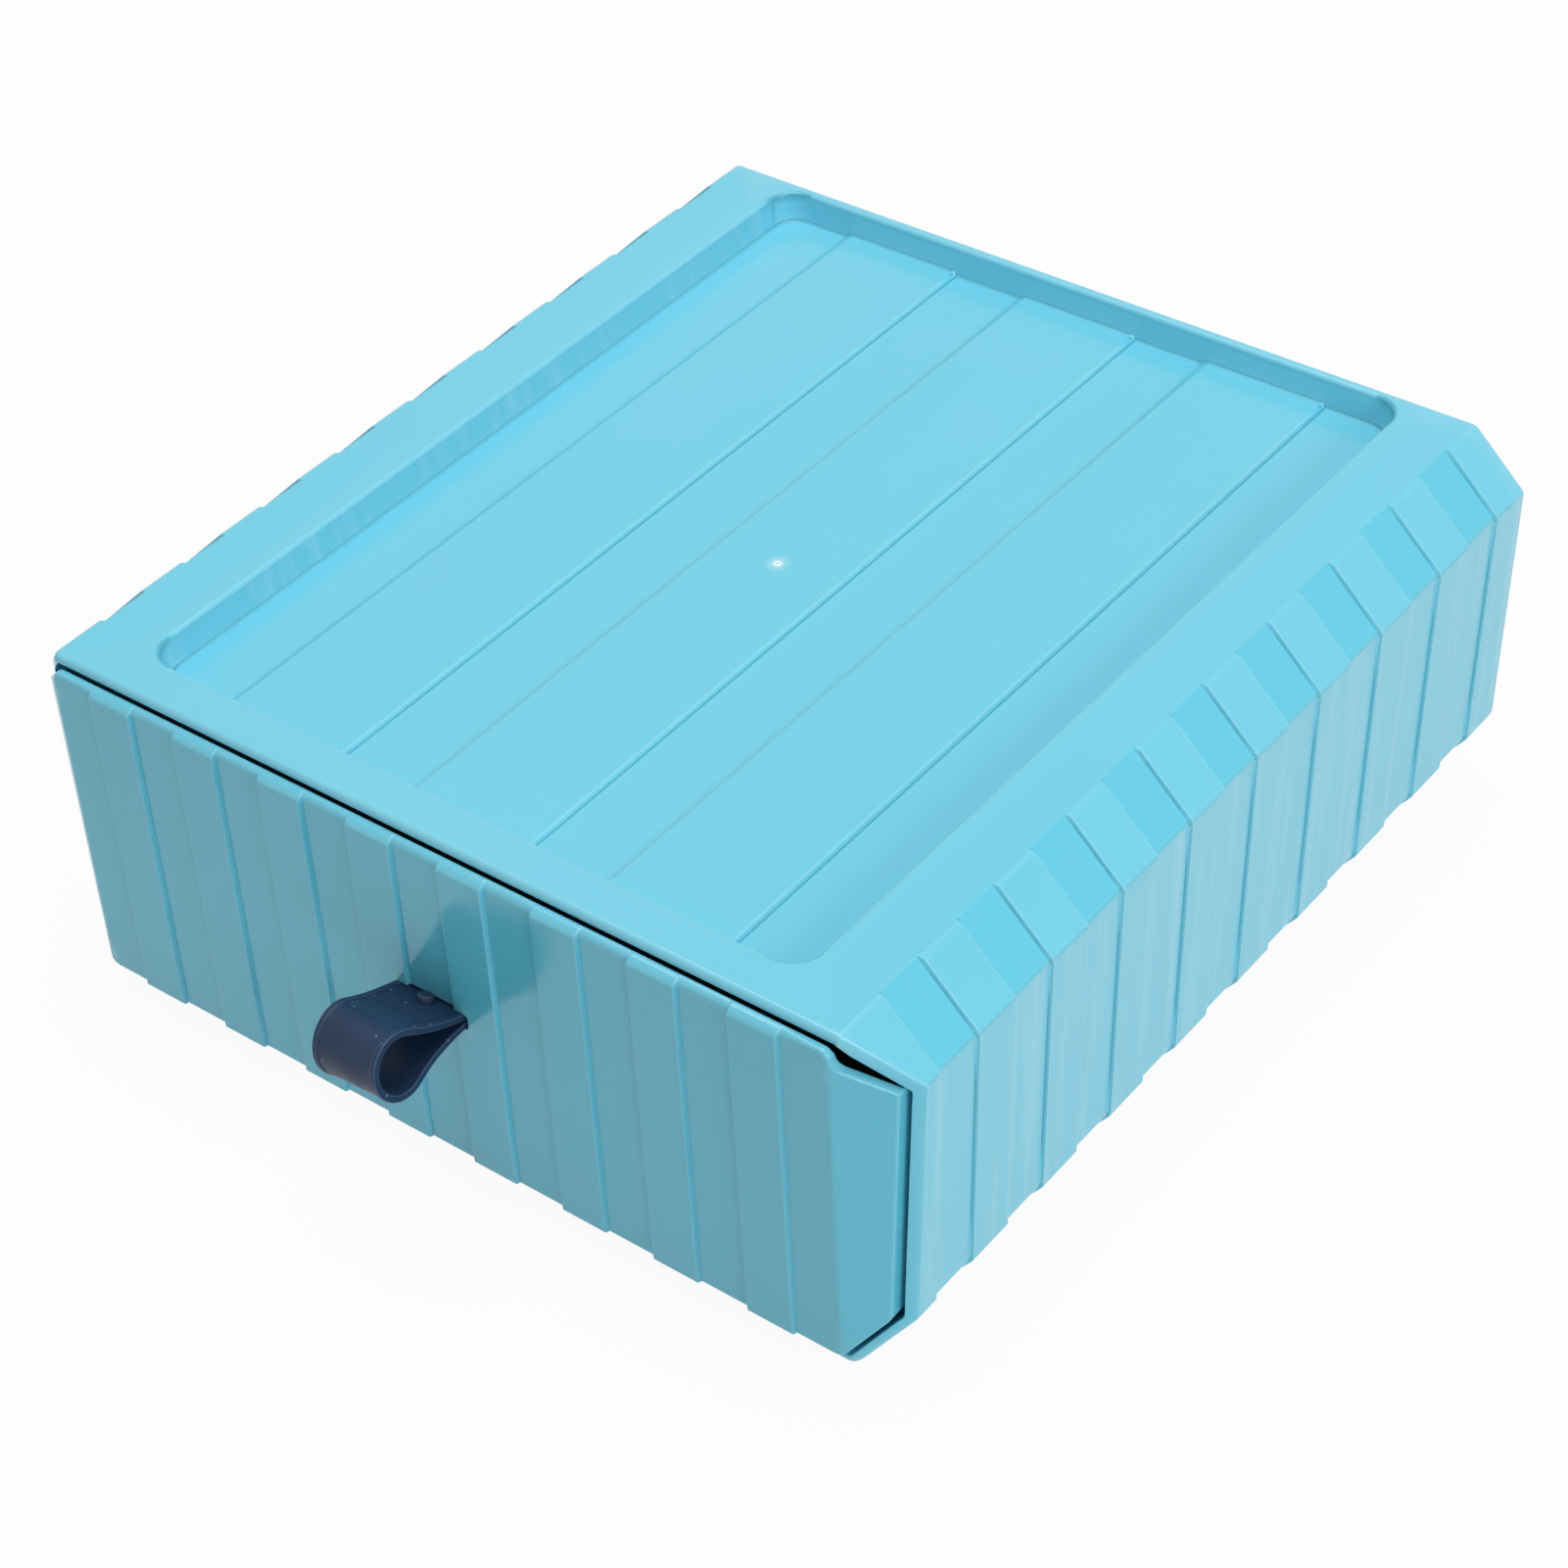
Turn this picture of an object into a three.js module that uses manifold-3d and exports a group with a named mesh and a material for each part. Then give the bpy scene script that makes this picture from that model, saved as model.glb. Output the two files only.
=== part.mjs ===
// A stackable storage drawer: a sleeve-like casing with a stacking tray on top, one drawer and its strap pull.
// Lengths are in millimetres. X runs across the width, y = 0 is the casing's mouth, +Y runs to the back and +Z up.
// At the end the whole part is moved along Y, so that its origin is the middle of its footprint.
import * as THREE from 'three';
import { mergeVertices } from 'three/addons/utils/BufferGeometryUtils.js';
import Module from 'manifold-3d';

// Casing: a section of flat top, sloping shoulders, leaning walls and sloping belly, the same from front to back
const casingWidth = 260;
const casingDepth = 266;
const casingHeight = 101;
const casingWall = 2.5;
const backWall = 2.6;
const shoulderWidth = 14.6;
const shoulderHeight = 14.6;
const wallLean = 2.7;
const bellyWidth = 11.6;
const bellyHeight = 15;
const topRidgeRadius = 2.6;
const shoulderRadius = 1;
const bellyRadius = 3;
const undersideRadius = 5;
const backEdgeRadius = 1;
const mouthSetback = 10.5;

// Tray sunk into the casing's top, where the next unit stands
const trayDepth = 8;
const trayDraft = 1.4;
const trayRimSide = 18.7;
const trayRimFront = 12.2;
const trayRimBack = 2.8;
const trayCornerRadius = 8;
const trayRimRadius = 1.2;
const trayBaseRadius = 1.5;
const trayWall = 2.2;
const trayBoardWidth = 35.3;
const trayBoardGap = 21.6;
const trayBoardHeight = 1;
const trayBoardMargin = 12;

// Planks sunk into the casing's sides, with boards of full thickness between them
const sidePlankWidth = 13.9;
const sideBoardWidth = 13.88;
const sidePlankDepth = 0.8;
const sidePlankFront = 16;
const sidePlankBack = 12;
const sidePlankRidgeRadius = 0.6;

// Foot ring under the casing, which stands in the tray of the unit below
const footLift = 1;
const footClearance = 1.2;
const footWall = 2.4;

// Runners on the casing's floor
const runnerWidth = 3;
const runnerHeight = 1.2;
const runnerSpacing = 150;
const runnerFront = 14;

// Drawer: a tub with a front that stands proud of the casing's mouth
const slideClearance = 0.3;
const sideClearance = 1.4;
const shoulderClearance = 0.8;
const drawerBackClearance = 1.2;
const drawerWall = 2;
const drawerFloor = 2;
const drawerBellyRadius = 4.5;
const drawerCornerRadius = 9;
const frontWall = 2.2;
const frontStand = 2.5;
const frontInset = 1.1;
const frontTopDrop = 4;
const frontCurveInset = 4.4;
const frontCurveWidth = 6.4;
const frontCurveDrop = 4.9;
const frontCurveReach = 3;
const frontEdgeRadius = 1.8;
const frontBendRadius = 3;
const frontSideRadius = 1.2;

// Planks standing proud of the drawer's front
const frontPlankWidth = 13.1;
const frontPlankGap = 14;
const frontPlankDepth = 1;
const frontPlankMargin = 10;
const frontPlankSlope = 1;

// Strap pull: a band folded into a loop, with its two legs through a slot in the drawer's front
const strapWidth = 20.8;
const strapThickness = 1.5;
const strapLegGap = 0.3;
const strapReach = 30.8;
const strapLoopRadius = 9.8;
const strapLoopRise = 1.5;
const strapLegBend = 3;
const strapLoopEase = 8;
const strapBeadWidth = 1.6;
const strapBeadHeight = 0.3;
const slotRise = 47.5;
const slotSideClearance = 0.6;
const slotClearance = 0.25;
const slotCornerRadius = 0.8;
const anchorOverlap = 2;
const anchorHeight = 3;
const anchorThickness = 2;
const anchorClearance = 0.3;

// Stud on the lower leg, buttoned through a hole in the upper leg
const studReach = 3.4;
const studHeadRadius = 2.1;
const studHeadHeight = 1.1;
const studStemRadius = 1.2;
const studClearance = 0.3;

// One overrun serves all cuts, and one weld all joins
const overrun = 5;
const weld = 0.6;

// Shares and counts of the rounded shapes
const filletLimitShare = 0.48;
const loopAngleShare = 2 / 3;
const cornerSteps = 3;
const curveSteps = 8;
const loopSteps = 28;
const studSides = 20;

const footHeight = trayDepth - trayBoardHeight - footLift;
const base = footHeight;
const top = base + casingHeight;
const halfWidth = casingWidth / 2;
const halfTop = halfWidth - shoulderWidth;
const halfBelly = halfWidth - wallLean;
const halfUnderside = halfBelly - bellyWidth;
const drawerBack = casingDepth - backWall - drawerBackClearance;
const drawerLift = casingWall + runnerHeight + slideClearance;
const slotWidth = strapWidth + 2 * slotSideClearance;
const slotHeight = 2 * (strapThickness + strapBeadHeight + slotClearance) + strapLegGap;
const slotCentre = base + drawerLift + slotRise;
const frontFace = -frontStand;

const wasm = await Module();
wasm.setup();

function solid(geometry) {
  geometry.deleteAttribute('normal');
  geometry.deleteAttribute('uv');
  const merged = mergeVertices(geometry);
  const vertProperties = new Float32Array(merged.attributes.position.array);
  const corners = merged.index.array;
  const triVerts = [];
  for (let i = 0; i < corners.length; i += 3) {
    const [a, b, c] = corners.slice(i, i + 3);
    if (a !== b && b !== c && c !== a) triVerts.push(a, b, c);
  }
  return new wasm.Manifold(new wasm.Mesh({ numProp: 3, vertProperties, triVerts: new Uint32Array(triVerts) }));
}

function meshOf(name, body, look) {
  const { vertProperties, triVerts } = body.getMesh();
  const geometry = new THREE.BufferGeometry();
  geometry.setAttribute('position', new THREE.BufferAttribute(vertProperties, 3));
  geometry.setIndex(new THREE.BufferAttribute(triVerts, 1));
  geometry.computeVertexNormals();
  const mesh = new THREE.Mesh(geometry, new THREE.MeshStandardMaterial(look));
  mesh.name = name;
  return mesh;
}

// Outlines are lists of points that run counterclockwise

function mirrored(rightSide) {
  const leftSide = rightSide.map((point) => new THREE.Vector2(-point.x, point.y));
  return [...rightSide, ...leftSide.reverse()];
}

function crossing(pointA, directionA, pointB, directionB) {
  const along = pointB.clone().sub(pointA).cross(directionB) / directionA.cross(directionB);
  return pointA.clone().addScaledVector(directionA, along);
}

// Moves each side of an outline inwards by its own distance; side i starts at corner i
function inset(corners, distances) {
  const sides = corners.map((corner, i) => {
    const direction = corners[(i + 1) % corners.length].clone().sub(corner).normalize();
    const inwards = new THREE.Vector2(-direction.y, direction.x);
    return { point: corner.clone().addScaledVector(inwards, distances[i]), direction };
  });
  return sides.map((side, i) => {
    const before = sides[(i + sides.length - 1) % sides.length];
    return crossing(before.point, before.direction, side.point, side.direction);
  });
}

// The arc that rounds one corner; no fillet takes more than its share of the sides beside it
function filletPoints(before, corner, after, radius) {
  const towardsBefore = before.clone().sub(corner);
  const towardsAfter = after.clone().sub(corner);
  const room = Math.min(towardsBefore.length(), towardsAfter.length()) * filletLimitShare;
  towardsBefore.normalize();
  towardsAfter.normalize();
  const halfAngle = Math.acos(towardsBefore.dot(towardsAfter)) / 2;
  const reach = Math.min(radius / Math.tan(halfAngle), room);
  const start = corner.clone().addScaledVector(towardsBefore, reach);
  const end = corner.clone().addScaledVector(towardsAfter, reach);
  const middle = towardsBefore.clone().add(towardsAfter).normalize();
  const centre = corner.clone().addScaledVector(middle, reach / Math.cos(halfAngle));
  const spoke = start.clone().sub(centre);
  const turn = Math.sign(spoke.cross(end.clone().sub(centre))) * (Math.PI - 2 * halfAngle);
  const steps = Array.from({ length: cornerSteps + 1 }, (_, step) => step / cornerSteps);
  return steps.map((share) => spoke.clone().rotateAround(new THREE.Vector2(), turn * share).add(centre));
}

function rounded(corners, radii) {
  return corners.flatMap((corner, i) => {
    const before = corners[(i + corners.length - 1) % corners.length];
    const after = corners[(i + 1) % corners.length];
    return radii[i] > 0 ? filletPoints(before, corner, after, radii[i]) : [corner];
  });
}

function prism(points, length, axes, start) {
  const geometry = new THREE.ExtrudeGeometry(new THREE.Shape(points), { depth: length, bevelEnabled: false });
  geometry.applyMatrix4(new THREE.Matrix4().makeBasis(...axes));
  geometry.translate(start.x, start.y, start.z);
  return solid(geometry);
}

const axisX = new THREE.Vector3(1, 0, 0);
const axisY = new THREE.Vector3(0, 1, 0);
const axisZ = new THREE.Vector3(0, 0, 1);

// An outline in x and z, carried from front to back
function lengthwise(points, front, back) {
  const forwards = axisY.clone().negate();
  return prism(points, back - front, [axisX, axisZ, forwards], new THREE.Vector3(0, back, 0));
}

// An outline in y and z, carried from left to right
function crosswise(points, left, right) {
  return prism(points, right - left, [axisY, axisZ, axisX], new THREE.Vector3(left, 0, 0));
}

// An outline in x and y, carried upwards
function upright(points, bottom, height) {
  return prism(points, height, [axisX, axisY, axisZ], new THREE.Vector3(0, 0, bottom));
}

function rectangle(left, right, low, high) {
  const corners = [[right, low], [right, high], [left, high], [left, low]];
  return corners.map(([x, y]) => new THREE.Vector2(x, y));
}

function block(left, right, front, back, bottom, height) {
  return upright(rectangle(left, right, front, back), bottom, height);
}

// Places of equal pieces set out evenly on both sides of the middle
function evenPlaces(count, pitch) {
  return Array.from({ length: count }, (_, i) => (i - (count - 1) / 2) * pitch);
}

// Casing

function sectionCorners() {
  return mirrored([
    new THREE.Vector2(halfUnderside, base),
    new THREE.Vector2(halfBelly, base + bellyHeight),
    new THREE.Vector2(halfWidth, top - shoulderHeight),
    new THREE.Vector2(halfTop, top),
  ]);
}

// Distances for the eight sides of the section: belly, wall and shoulder, top, then shoulder, wall and belly, underside
function sectionInsets(wall, shoulder, ceiling, floor) {
  return [wall, wall, shoulder, ceiling, shoulder, wall, wall, floor];
}

function sectionRadii(underside, belly, shoulder, ridge) {
  return [underside, belly, shoulder, ridge, ridge, shoulder, belly, underside];
}

// The mouth's ends are cut back in plan, from the top's ridge out to the wall
function mouthPlan() {
  const reachOut = shoulderWidth + overrun;
  const setBack = mouthSetback * reachOut / shoulderWidth;
  return upright(mirrored([
    new THREE.Vector2(halfTop, 0),
    new THREE.Vector2(halfTop + reachOut, setBack),
    new THREE.Vector2(halfTop + reachOut, casingDepth + overrun),
  ]), base - overrun, casingHeight + 2 * overrun);
}

function casingShell() {
  const section = sectionCorners();
  const radii = sectionRadii(undersideRadius, bellyRadius, shoulderRadius, topRidgeRadius);
  const body = lengthwise(rounded(section, radii), 0, casingDepth);
  const side = crosswise(
    rounded(rectangle(-overrun, casingDepth, base, top), [backEdgeRadius, backEdgeRadius, 0, 0]),
    -halfWidth - overrun,
    halfWidth + overrun,
  );
  return body.intersect(side).intersect(mouthPlan());
}

// Each plank sinks belly, wall and shoulder, and runs out under the top's ridge
function sidePlanks() {
  const pitch = sidePlankWidth + sideBoardWidth;
  const room = casingDepth - sidePlankFront - sidePlankBack + sideBoardWidth;
  const sunken = inset(sectionCorners(), sectionInsets(sidePlankDepth, sidePlankDepth, 0, 0));
  const radii = sectionRadii(undersideRadius, bellyRadius, shoulderRadius, sidePlankRidgeRadius);
  const core = lengthwise(rounded(sunken, radii), -overrun, casingDepth + overrun);
  const edge = halfWidth + overrun;
  let slabs = block(-edge, edge, sidePlankFront, sidePlankFront + sidePlankWidth, base, casingHeight);
  for (let i = 1; i < Math.floor(room / pitch); i += 1) {
    const front = sidePlankFront + i * pitch;
    slabs = slabs.add(block(-edge, edge, front, front + sidePlankWidth, base, casingHeight));
  }
  return slabs.subtract(core);
}

// Outline of the foot of the tray's walls, grown by a distance on every side
function trayOutline(growth) {
  const half = halfTop - trayRimSide - trayDraft + growth;
  const front = trayRimFront + trayDraft - growth;
  const back = casingDepth - trayRimBack - trayDraft + growth;
  const radius = trayCornerRadius - trayDraft + growth;
  return rounded(rectangle(-half, half, front, back), [radius, radius, radius, radius]);
}

// A basin that opens upwards: each point of its profile is a growth of the tray's outline and a depth below the top
function basin(profile) {
  const tiers = profile.slice(1).map((upper, i) => {
    const lower = profile[i];
    const geometry = new THREE.ExtrudeGeometry(new THREE.Shape(trayOutline(0)), {
      depth: upper.y + overrun,
      bevelThickness: lower.y - upper.y,
      bevelSize: upper.x - lower.x,
      bevelOffset: lower.x,
      bevelSegments: 1,
    });
    geometry.translate(0, 0, top - upper.y);
    return solid(geometry);
  });
  return wasm.Manifold.union(tiers);
}

// The tray's wall from the floor up: a rounded foot, a drafted wall and a rounded rim
function trayProfile() {
  const steps = Array.from({ length: cornerSteps + 1 }, (_, step) => step / cornerSteps * Math.PI / 2);
  const foot = steps.map((angle) => new THREE.Vector2(
    trayBaseRadius * (Math.sin(angle) - 1),
    trayDepth - trayBaseRadius * (1 - Math.cos(angle)),
  ));
  const rim = steps.map((angle) => new THREE.Vector2(
    trayDraft + trayRimRadius * (1 - Math.cos(angle)),
    trayRimRadius * (1 - Math.sin(angle)),
  ));
  return [...foot, ...rim];
}

// The tray's underside, a wall's thickness outside the drafted walls and below the floor
function trayUnderside() {
  const depth = trayDepth + trayWall;
  return basin([new THREE.Vector2(trayWall, depth), new THREE.Vector2(trayWall + trayDraft, 0)]);
}

function trayBoards() {
  const half = halfTop - trayRimSide - trayDraft;
  const pitch = trayBoardWidth + trayBoardGap;
  const besideMiddle = Math.floor((half - trayBoardMargin - trayBoardWidth / 2) / pitch);
  const boards = evenPlaces(2 * besideMiddle + 1, pitch).map((x) => block(
    x - trayBoardWidth / 2,
    x + trayBoardWidth / 2,
    0,
    casingDepth,
    top - trayDepth - overrun,
    overrun + trayBoardHeight,
  ));
  return wasm.Manifold.union(boards);
}

// The space that the drawer slides in, with its ceiling stepped down under the tray
function casingInside() {
  const inner = inset(sectionCorners(), sectionInsets(casingWall, casingWall, casingWall, casingWall));
  return lengthwise(inner, -overrun, casingDepth - backWall).subtract(trayUnderside());
}

function footRing() {
  const outer = upright(trayOutline(-footClearance), 0, footHeight + weld);
  const inner = upright(trayOutline(-footClearance - footWall), -overrun, footHeight + overrun);
  return outer.subtract(inner);
}

function runner(side) {
  const x = side * runnerSpacing / 2;
  const bottom = base + casingWall - weld;
  const back = casingDepth - backWall + weld;
  return block(x - runnerWidth / 2, x + runnerWidth / 2, runnerFront, back, bottom, weld + runnerHeight);
}

function casing() {
  return casingShell()
    .subtract(sidePlanks())
    .subtract(casingInside())
    .subtract(basin(trayProfile()).subtract(trayBoards()))
    .add(footRing())
    .add(runner(-1))
    .add(runner(1));
}

// Drawer

// The right half of the tub's section: underside, belly and rim corners, kept clear of the casing's inner faces
function tubCorners() {
  const wall = casingWall + sideClearance;
  const shoulder = casingWall + shoulderClearance;
  return inset(sectionCorners(), sectionInsets(wall, shoulder, 0, drawerLift)).slice(0, 3);
}

function tubSection() {
  return rounded(mirrored(tubCorners()), [drawerBellyRadius, drawerBellyRadius, 0, 0, drawerBellyRadius, drawerBellyRadius]);
}

// The front reaches higher than the tub's rim: its top edge falls to the rim by a curve and a straight slope
function frontSection() {
  const [underside, belly, rim] = tubCorners();
  const curveTop = new THREE.Vector2(halfTop - frontCurveInset, top - frontTopDrop);
  const curveFoot = new THREE.Vector2(curveTop.x + frontCurveWidth, curveTop.y - frontCurveDrop);
  const slope = rim.clone().sub(curveFoot).normalize();
  const fall = new THREE.CubicBezierCurve(
    curveFoot,
    curveFoot.clone().addScaledVector(slope, -frontCurveReach),
    new THREE.Vector2(curveTop.x + frontCurveReach, curveTop.y),
    curveTop,
  );
  const corners = mirrored([underside, belly, rim, ...fall.getPoints(curveSteps)]);
  const radii = corners.map(() => 0);
  const bellyCorners = [0, 1, corners.length - 2, corners.length - 1];
  bellyCorners.forEach((i) => { radii[i] = drawerBellyRadius; });
  return rounded(corners, radii);
}

// The front's ends are set back in plan, parallel to the mouth's
function drawerPlanCorners() {
  const rim = tubCorners()[2];
  const halfFront = halfTop - frontInset;
  const setBack = (rim.x - halfFront) * mouthSetback / shoulderWidth;
  return mirrored([
    new THREE.Vector2(halfFront, frontFace),
    new THREE.Vector2(rim.x, frontFace + setBack),
    new THREE.Vector2(rim.x, drawerBack),
  ]);
}

function drawerPlan(corners, bendRadius, sideRadius, backRadius) {
  return rounded(corners, [bendRadius, sideRadius, backRadius, backRadius, sideRadius, bendRadius]);
}

function drawerOutside() {
  const plan = drawerPlanCorners();
  const sideStart = plan[1].y;
  const tub = lengthwise(tubSection(), frontFace, drawerBack);
  const front = lengthwise(frontSection(), frontFace, sideStart);
  const side = crosswise(
    rounded(rectangle(frontFace, drawerBack, base + drawerLift, top - frontTopDrop), [0, 0, frontEdgeRadius, 0]),
    -halfWidth,
    halfWidth,
  );
  const outline = drawerPlan(plan, frontBendRadius, frontSideRadius, drawerCornerRadius);
  return tub.add(front).intersect(side).intersect(upright(outline, base, casingHeight));
}

function drawerInside() {
  const open = tubCorners()[2].y - top - overrun;
  const section = inset(mirrored(tubCorners()), [drawerWall, drawerWall, open, drawerWall, drawerWall, drawerFloor]);
  const plan = inset(drawerPlanCorners(), [frontWall, drawerWall, drawerWall, drawerWall, frontWall, frontWall]);
  const reach = lengthwise(section, frontFace, drawerBack);
  const outline = drawerPlan(plan, frontBendRadius, 0, drawerCornerRadius - drawerWall);
  return reach.intersect(upright(outline, base, casingHeight + 2 * overrun));
}

// A plank's side view: square at the foot, sloping back into the front at the top
function frontPlankSide() {
  const foot = base + drawerLift;
  const head = top - frontTopDrop - frontEdgeRadius;
  const proud = frontFace - frontPlankDepth;
  const corners = [
    [frontFace + weld, foot],
    [frontFace + weld, head],
    [frontFace, head],
    [proud, head - frontPlankSlope],
    [proud, foot],
  ];
  return corners.map(([y, z]) => new THREE.Vector2(y, z));
}

function frontPlanks() {
  const pitch = frontPlankWidth + frontPlankGap;
  const halfFront = halfTop - frontInset - frontPlankMargin;
  const perSide = Math.floor((halfFront + frontPlankGap / 2) / pitch);
  const side = frontPlankSide();
  const planks = evenPlaces(2 * perSide, pitch).map((x) => crosswise(side, x - frontPlankWidth / 2, x + frontPlankWidth / 2));
  return wasm.Manifold.union(planks);
}

function slot() {
  const outline = rectangle(-slotWidth / 2, slotWidth / 2, slotCentre - slotHeight / 2, slotCentre + slotHeight / 2);
  const radii = outline.map(() => slotCornerRadius);
  return lengthwise(rounded(outline, radii), frontFace - overrun, frontFace + frontWall + overrun);
}

function drawer() {
  return drawerOutside().subtract(drawerInside()).add(frontPlanks()).subtract(slot());
}

// Strap pull

// A point of the loop's middle line in y and z; the angle is taken from +Y
function loopPoint(angle) {
  const radius = strapLoopRadius - strapBeadHeight - strapThickness / 2;
  const centre = new THREE.Vector2(frontFace - strapReach + strapLoopRadius, slotCentre + strapLoopRise);
  return centre.add(new THREE.Vector2(Math.cos(angle), Math.sin(angle)).multiplyScalar(radius));
}

// A leg's middle line from the slot out to the loop: the upper leg's where side is 1, the lower leg's where it is -1
function legCurve(side) {
  const angle = side * (1 - loopAngleShare) * Math.PI;
  const joint = loopPoint(angle);
  const spoke = new THREE.Vector2(Math.cos(angle), Math.sin(angle));
  const onwards = new THREE.Vector2(-spoke.y, spoke.x).multiplyScalar(side);
  const leave = new THREE.Vector2(frontFace, slotCentre + side * (strapThickness + strapLegGap) / 2);
  const leaveHandle = new THREE.Vector2(leave.x - strapLegBend, leave.y);
  return new THREE.CubicBezierCurve(leave, leaveHandle, joint.clone().addScaledVector(onwards, -strapLoopEase), joint);
}

function loopPoints() {
  const start = (1 - loopAngleShare) * Math.PI;
  const sweep = 2 * loopAngleShare * Math.PI;
  return Array.from({ length: loopSteps - 1 }, (_, i) => loopPoint(start + sweep * (i + 1) / loopSteps));
}

// The strap's middle line, from the upper anchor round the loop to the lower anchor
function strapPath() {
  const upper = legCurve(1).getPoints(curveSteps);
  const lower = legCurve(-1).getPoints(curveSteps).reverse();
  const anchorFace = frontFace + frontWall + anchorClearance + weld;
  const start = new THREE.Vector2(anchorFace, upper[0].y);
  const end = new THREE.Vector2(anchorFace, lower[curveSteps].y);
  return [start, ...upper, ...loopPoints(), ...lower, end];
}

// The band between two offsets from the strap's middle line, outwards being away from the loop
function bandOutline(outside, inside) {
  const path = strapPath();
  const outwards = path.map((point, i) => {
    const before = path[Math.max(i - 1, 0)];
    const after = path[Math.min(i + 1, path.length - 1)];
    const direction = after.clone().sub(before).normalize();
    return new THREE.Vector2(direction.y, -direction.x);
  });
  const outer = path.map((point, i) => point.clone().addScaledVector(outwards[i], outside));
  const inner = path.map((point, i) => point.clone().addScaledVector(outwards[i], inside));
  return [...outer, ...inner.reverse()];
}

// Bars behind the drawer's front, wider than the slot, that hold the strap's ends
function anchor(side) {
  const half = slotWidth / 2 + anchorOverlap;
  const near = slotCentre + side * strapLegGap / 2;
  const far = near + side * anchorHeight;
  const back = frontFace + frontWall + anchorClearance;
  return block(-half, half, back, back + anchorThickness, Math.min(near, far), anchorHeight);
}

function studFrame() {
  const curve = legCurve(1);
  const share = curve.getUtoTmapping(0, studReach);
  const point = curve.getPoint(share);
  const tangent = curve.getTangent(share);
  const up = new THREE.Vector3(0, tangent.y, -tangent.x);
  const place = new THREE.Vector3(0, point.x, point.y);
  return new THREE.Matrix4().makeBasis(new THREE.Vector3().crossVectors(up, axisX), up, axisX).setPosition(place);
}

function turned(profile) {
  const points = profile.map(([radius, height]) => new THREE.Vector2(radius, height));
  return solid(new THREE.LatheGeometry(points, studSides).applyMatrix4(studFrame()));
}

// The stem starts in the lower leg and ends in a low domed head on the upper leg
function stud() {
  const legRise = legCurve(1).getPoint(legCurve(1).getUtoTmapping(0, studReach)).y - slotCentre;
  const seat = strapThickness / 2 + weld / 2;
  return turned([
    [0, -2 * legRise],
    [studStemRadius, -2 * legRise],
    [studStemRadius, seat],
    [studHeadRadius, seat],
    [studHeadRadius, seat + studHeadHeight / 2],
    [studStemRadius, seat + studHeadHeight],
    [0, seat + studHeadHeight],
  ]);
}

function studHole() {
  const radius = studStemRadius + studClearance;
  return turned([[0, -strapThickness], [radius, -strapThickness], [radius, strapThickness], [0, strapThickness]]);
}

function pullStrap() {
  const half = strapWidth / 2;
  const outside = strapThickness / 2;
  const band = crosswise(bandOutline(outside, -outside), -half, half);
  const bead = bandOutline(outside + strapBeadHeight, 0);
  return band
    .add(crosswise(bead, -half, -half + strapBeadWidth))
    .add(crosswise(bead, half - strapBeadWidth, half))
    .add(anchor(1))
    .add(anchor(-1))
    .subtract(studHole())
    .add(stud());
}

const turquoise = { color: '#74cfe6', roughness: 0.3, metalness: 0 };
const navy = { color: '#2d4164', roughness: 0.6, metalness: 0 };

const storageDrawer = new THREE.Group();
storageDrawer.add(meshOf('casing', casing(), turquoise));
storageDrawer.add(meshOf('drawer', drawer(), turquoise));
storageDrawer.add(meshOf('pull_strap', pullStrap(), navy));
storageDrawer.position.y = (frontStand + strapReach - casingDepth) / 2;

export default storageDrawer;
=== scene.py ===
import math

import bmesh
import bpy
import numpy as np
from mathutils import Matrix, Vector


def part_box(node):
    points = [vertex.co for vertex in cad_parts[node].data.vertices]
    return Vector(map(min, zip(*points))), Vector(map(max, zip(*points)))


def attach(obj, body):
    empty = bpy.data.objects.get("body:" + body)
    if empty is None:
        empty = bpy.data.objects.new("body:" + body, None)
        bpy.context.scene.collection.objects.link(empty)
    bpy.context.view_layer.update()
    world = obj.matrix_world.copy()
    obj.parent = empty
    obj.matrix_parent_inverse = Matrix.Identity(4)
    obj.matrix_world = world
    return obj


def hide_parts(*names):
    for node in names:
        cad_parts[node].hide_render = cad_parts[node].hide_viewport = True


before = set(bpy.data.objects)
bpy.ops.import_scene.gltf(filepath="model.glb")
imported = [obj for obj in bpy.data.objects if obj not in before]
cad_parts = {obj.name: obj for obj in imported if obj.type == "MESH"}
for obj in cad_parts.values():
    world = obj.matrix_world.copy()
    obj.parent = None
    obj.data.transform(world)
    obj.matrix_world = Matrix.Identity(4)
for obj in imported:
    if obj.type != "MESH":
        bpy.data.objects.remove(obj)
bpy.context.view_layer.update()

MILLIMETRE = 0.001
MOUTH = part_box("casing")[0].y

# Meshing: the margin of points beside an eased edge, and the steps of a small rounding
EDGE_MARGIN = 0.35
EDGE_STEPS = 4

# Casing, with the sizes of its solid
CASING_WIDTH = 260
CASING_DEPTH = 266
CASING_HEIGHT = 101
CASING_WALL = 2.5
BACK_WALL = 2.6
SHOULDER = 14.6
WALL_LEAN = 2.7
BELLY_WIDTH = 11.6
BELLY_HEIGHT = 15
MOUTH_SETBACK = 10.5
BASE = 6
TOP = BASE + CASING_HEIGHT

# Half-widths of the casing's section
HALF_WIDTH = CASING_WIDTH / 2
HALF_TOP = HALF_WIDTH - SHOULDER
HALF_BELLY = HALF_WIDTH - WALL_LEAN
HALF_UNDERSIDE = HALF_BELLY - BELLY_WIDTH
PANEL_HALF = 111.5

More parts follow.
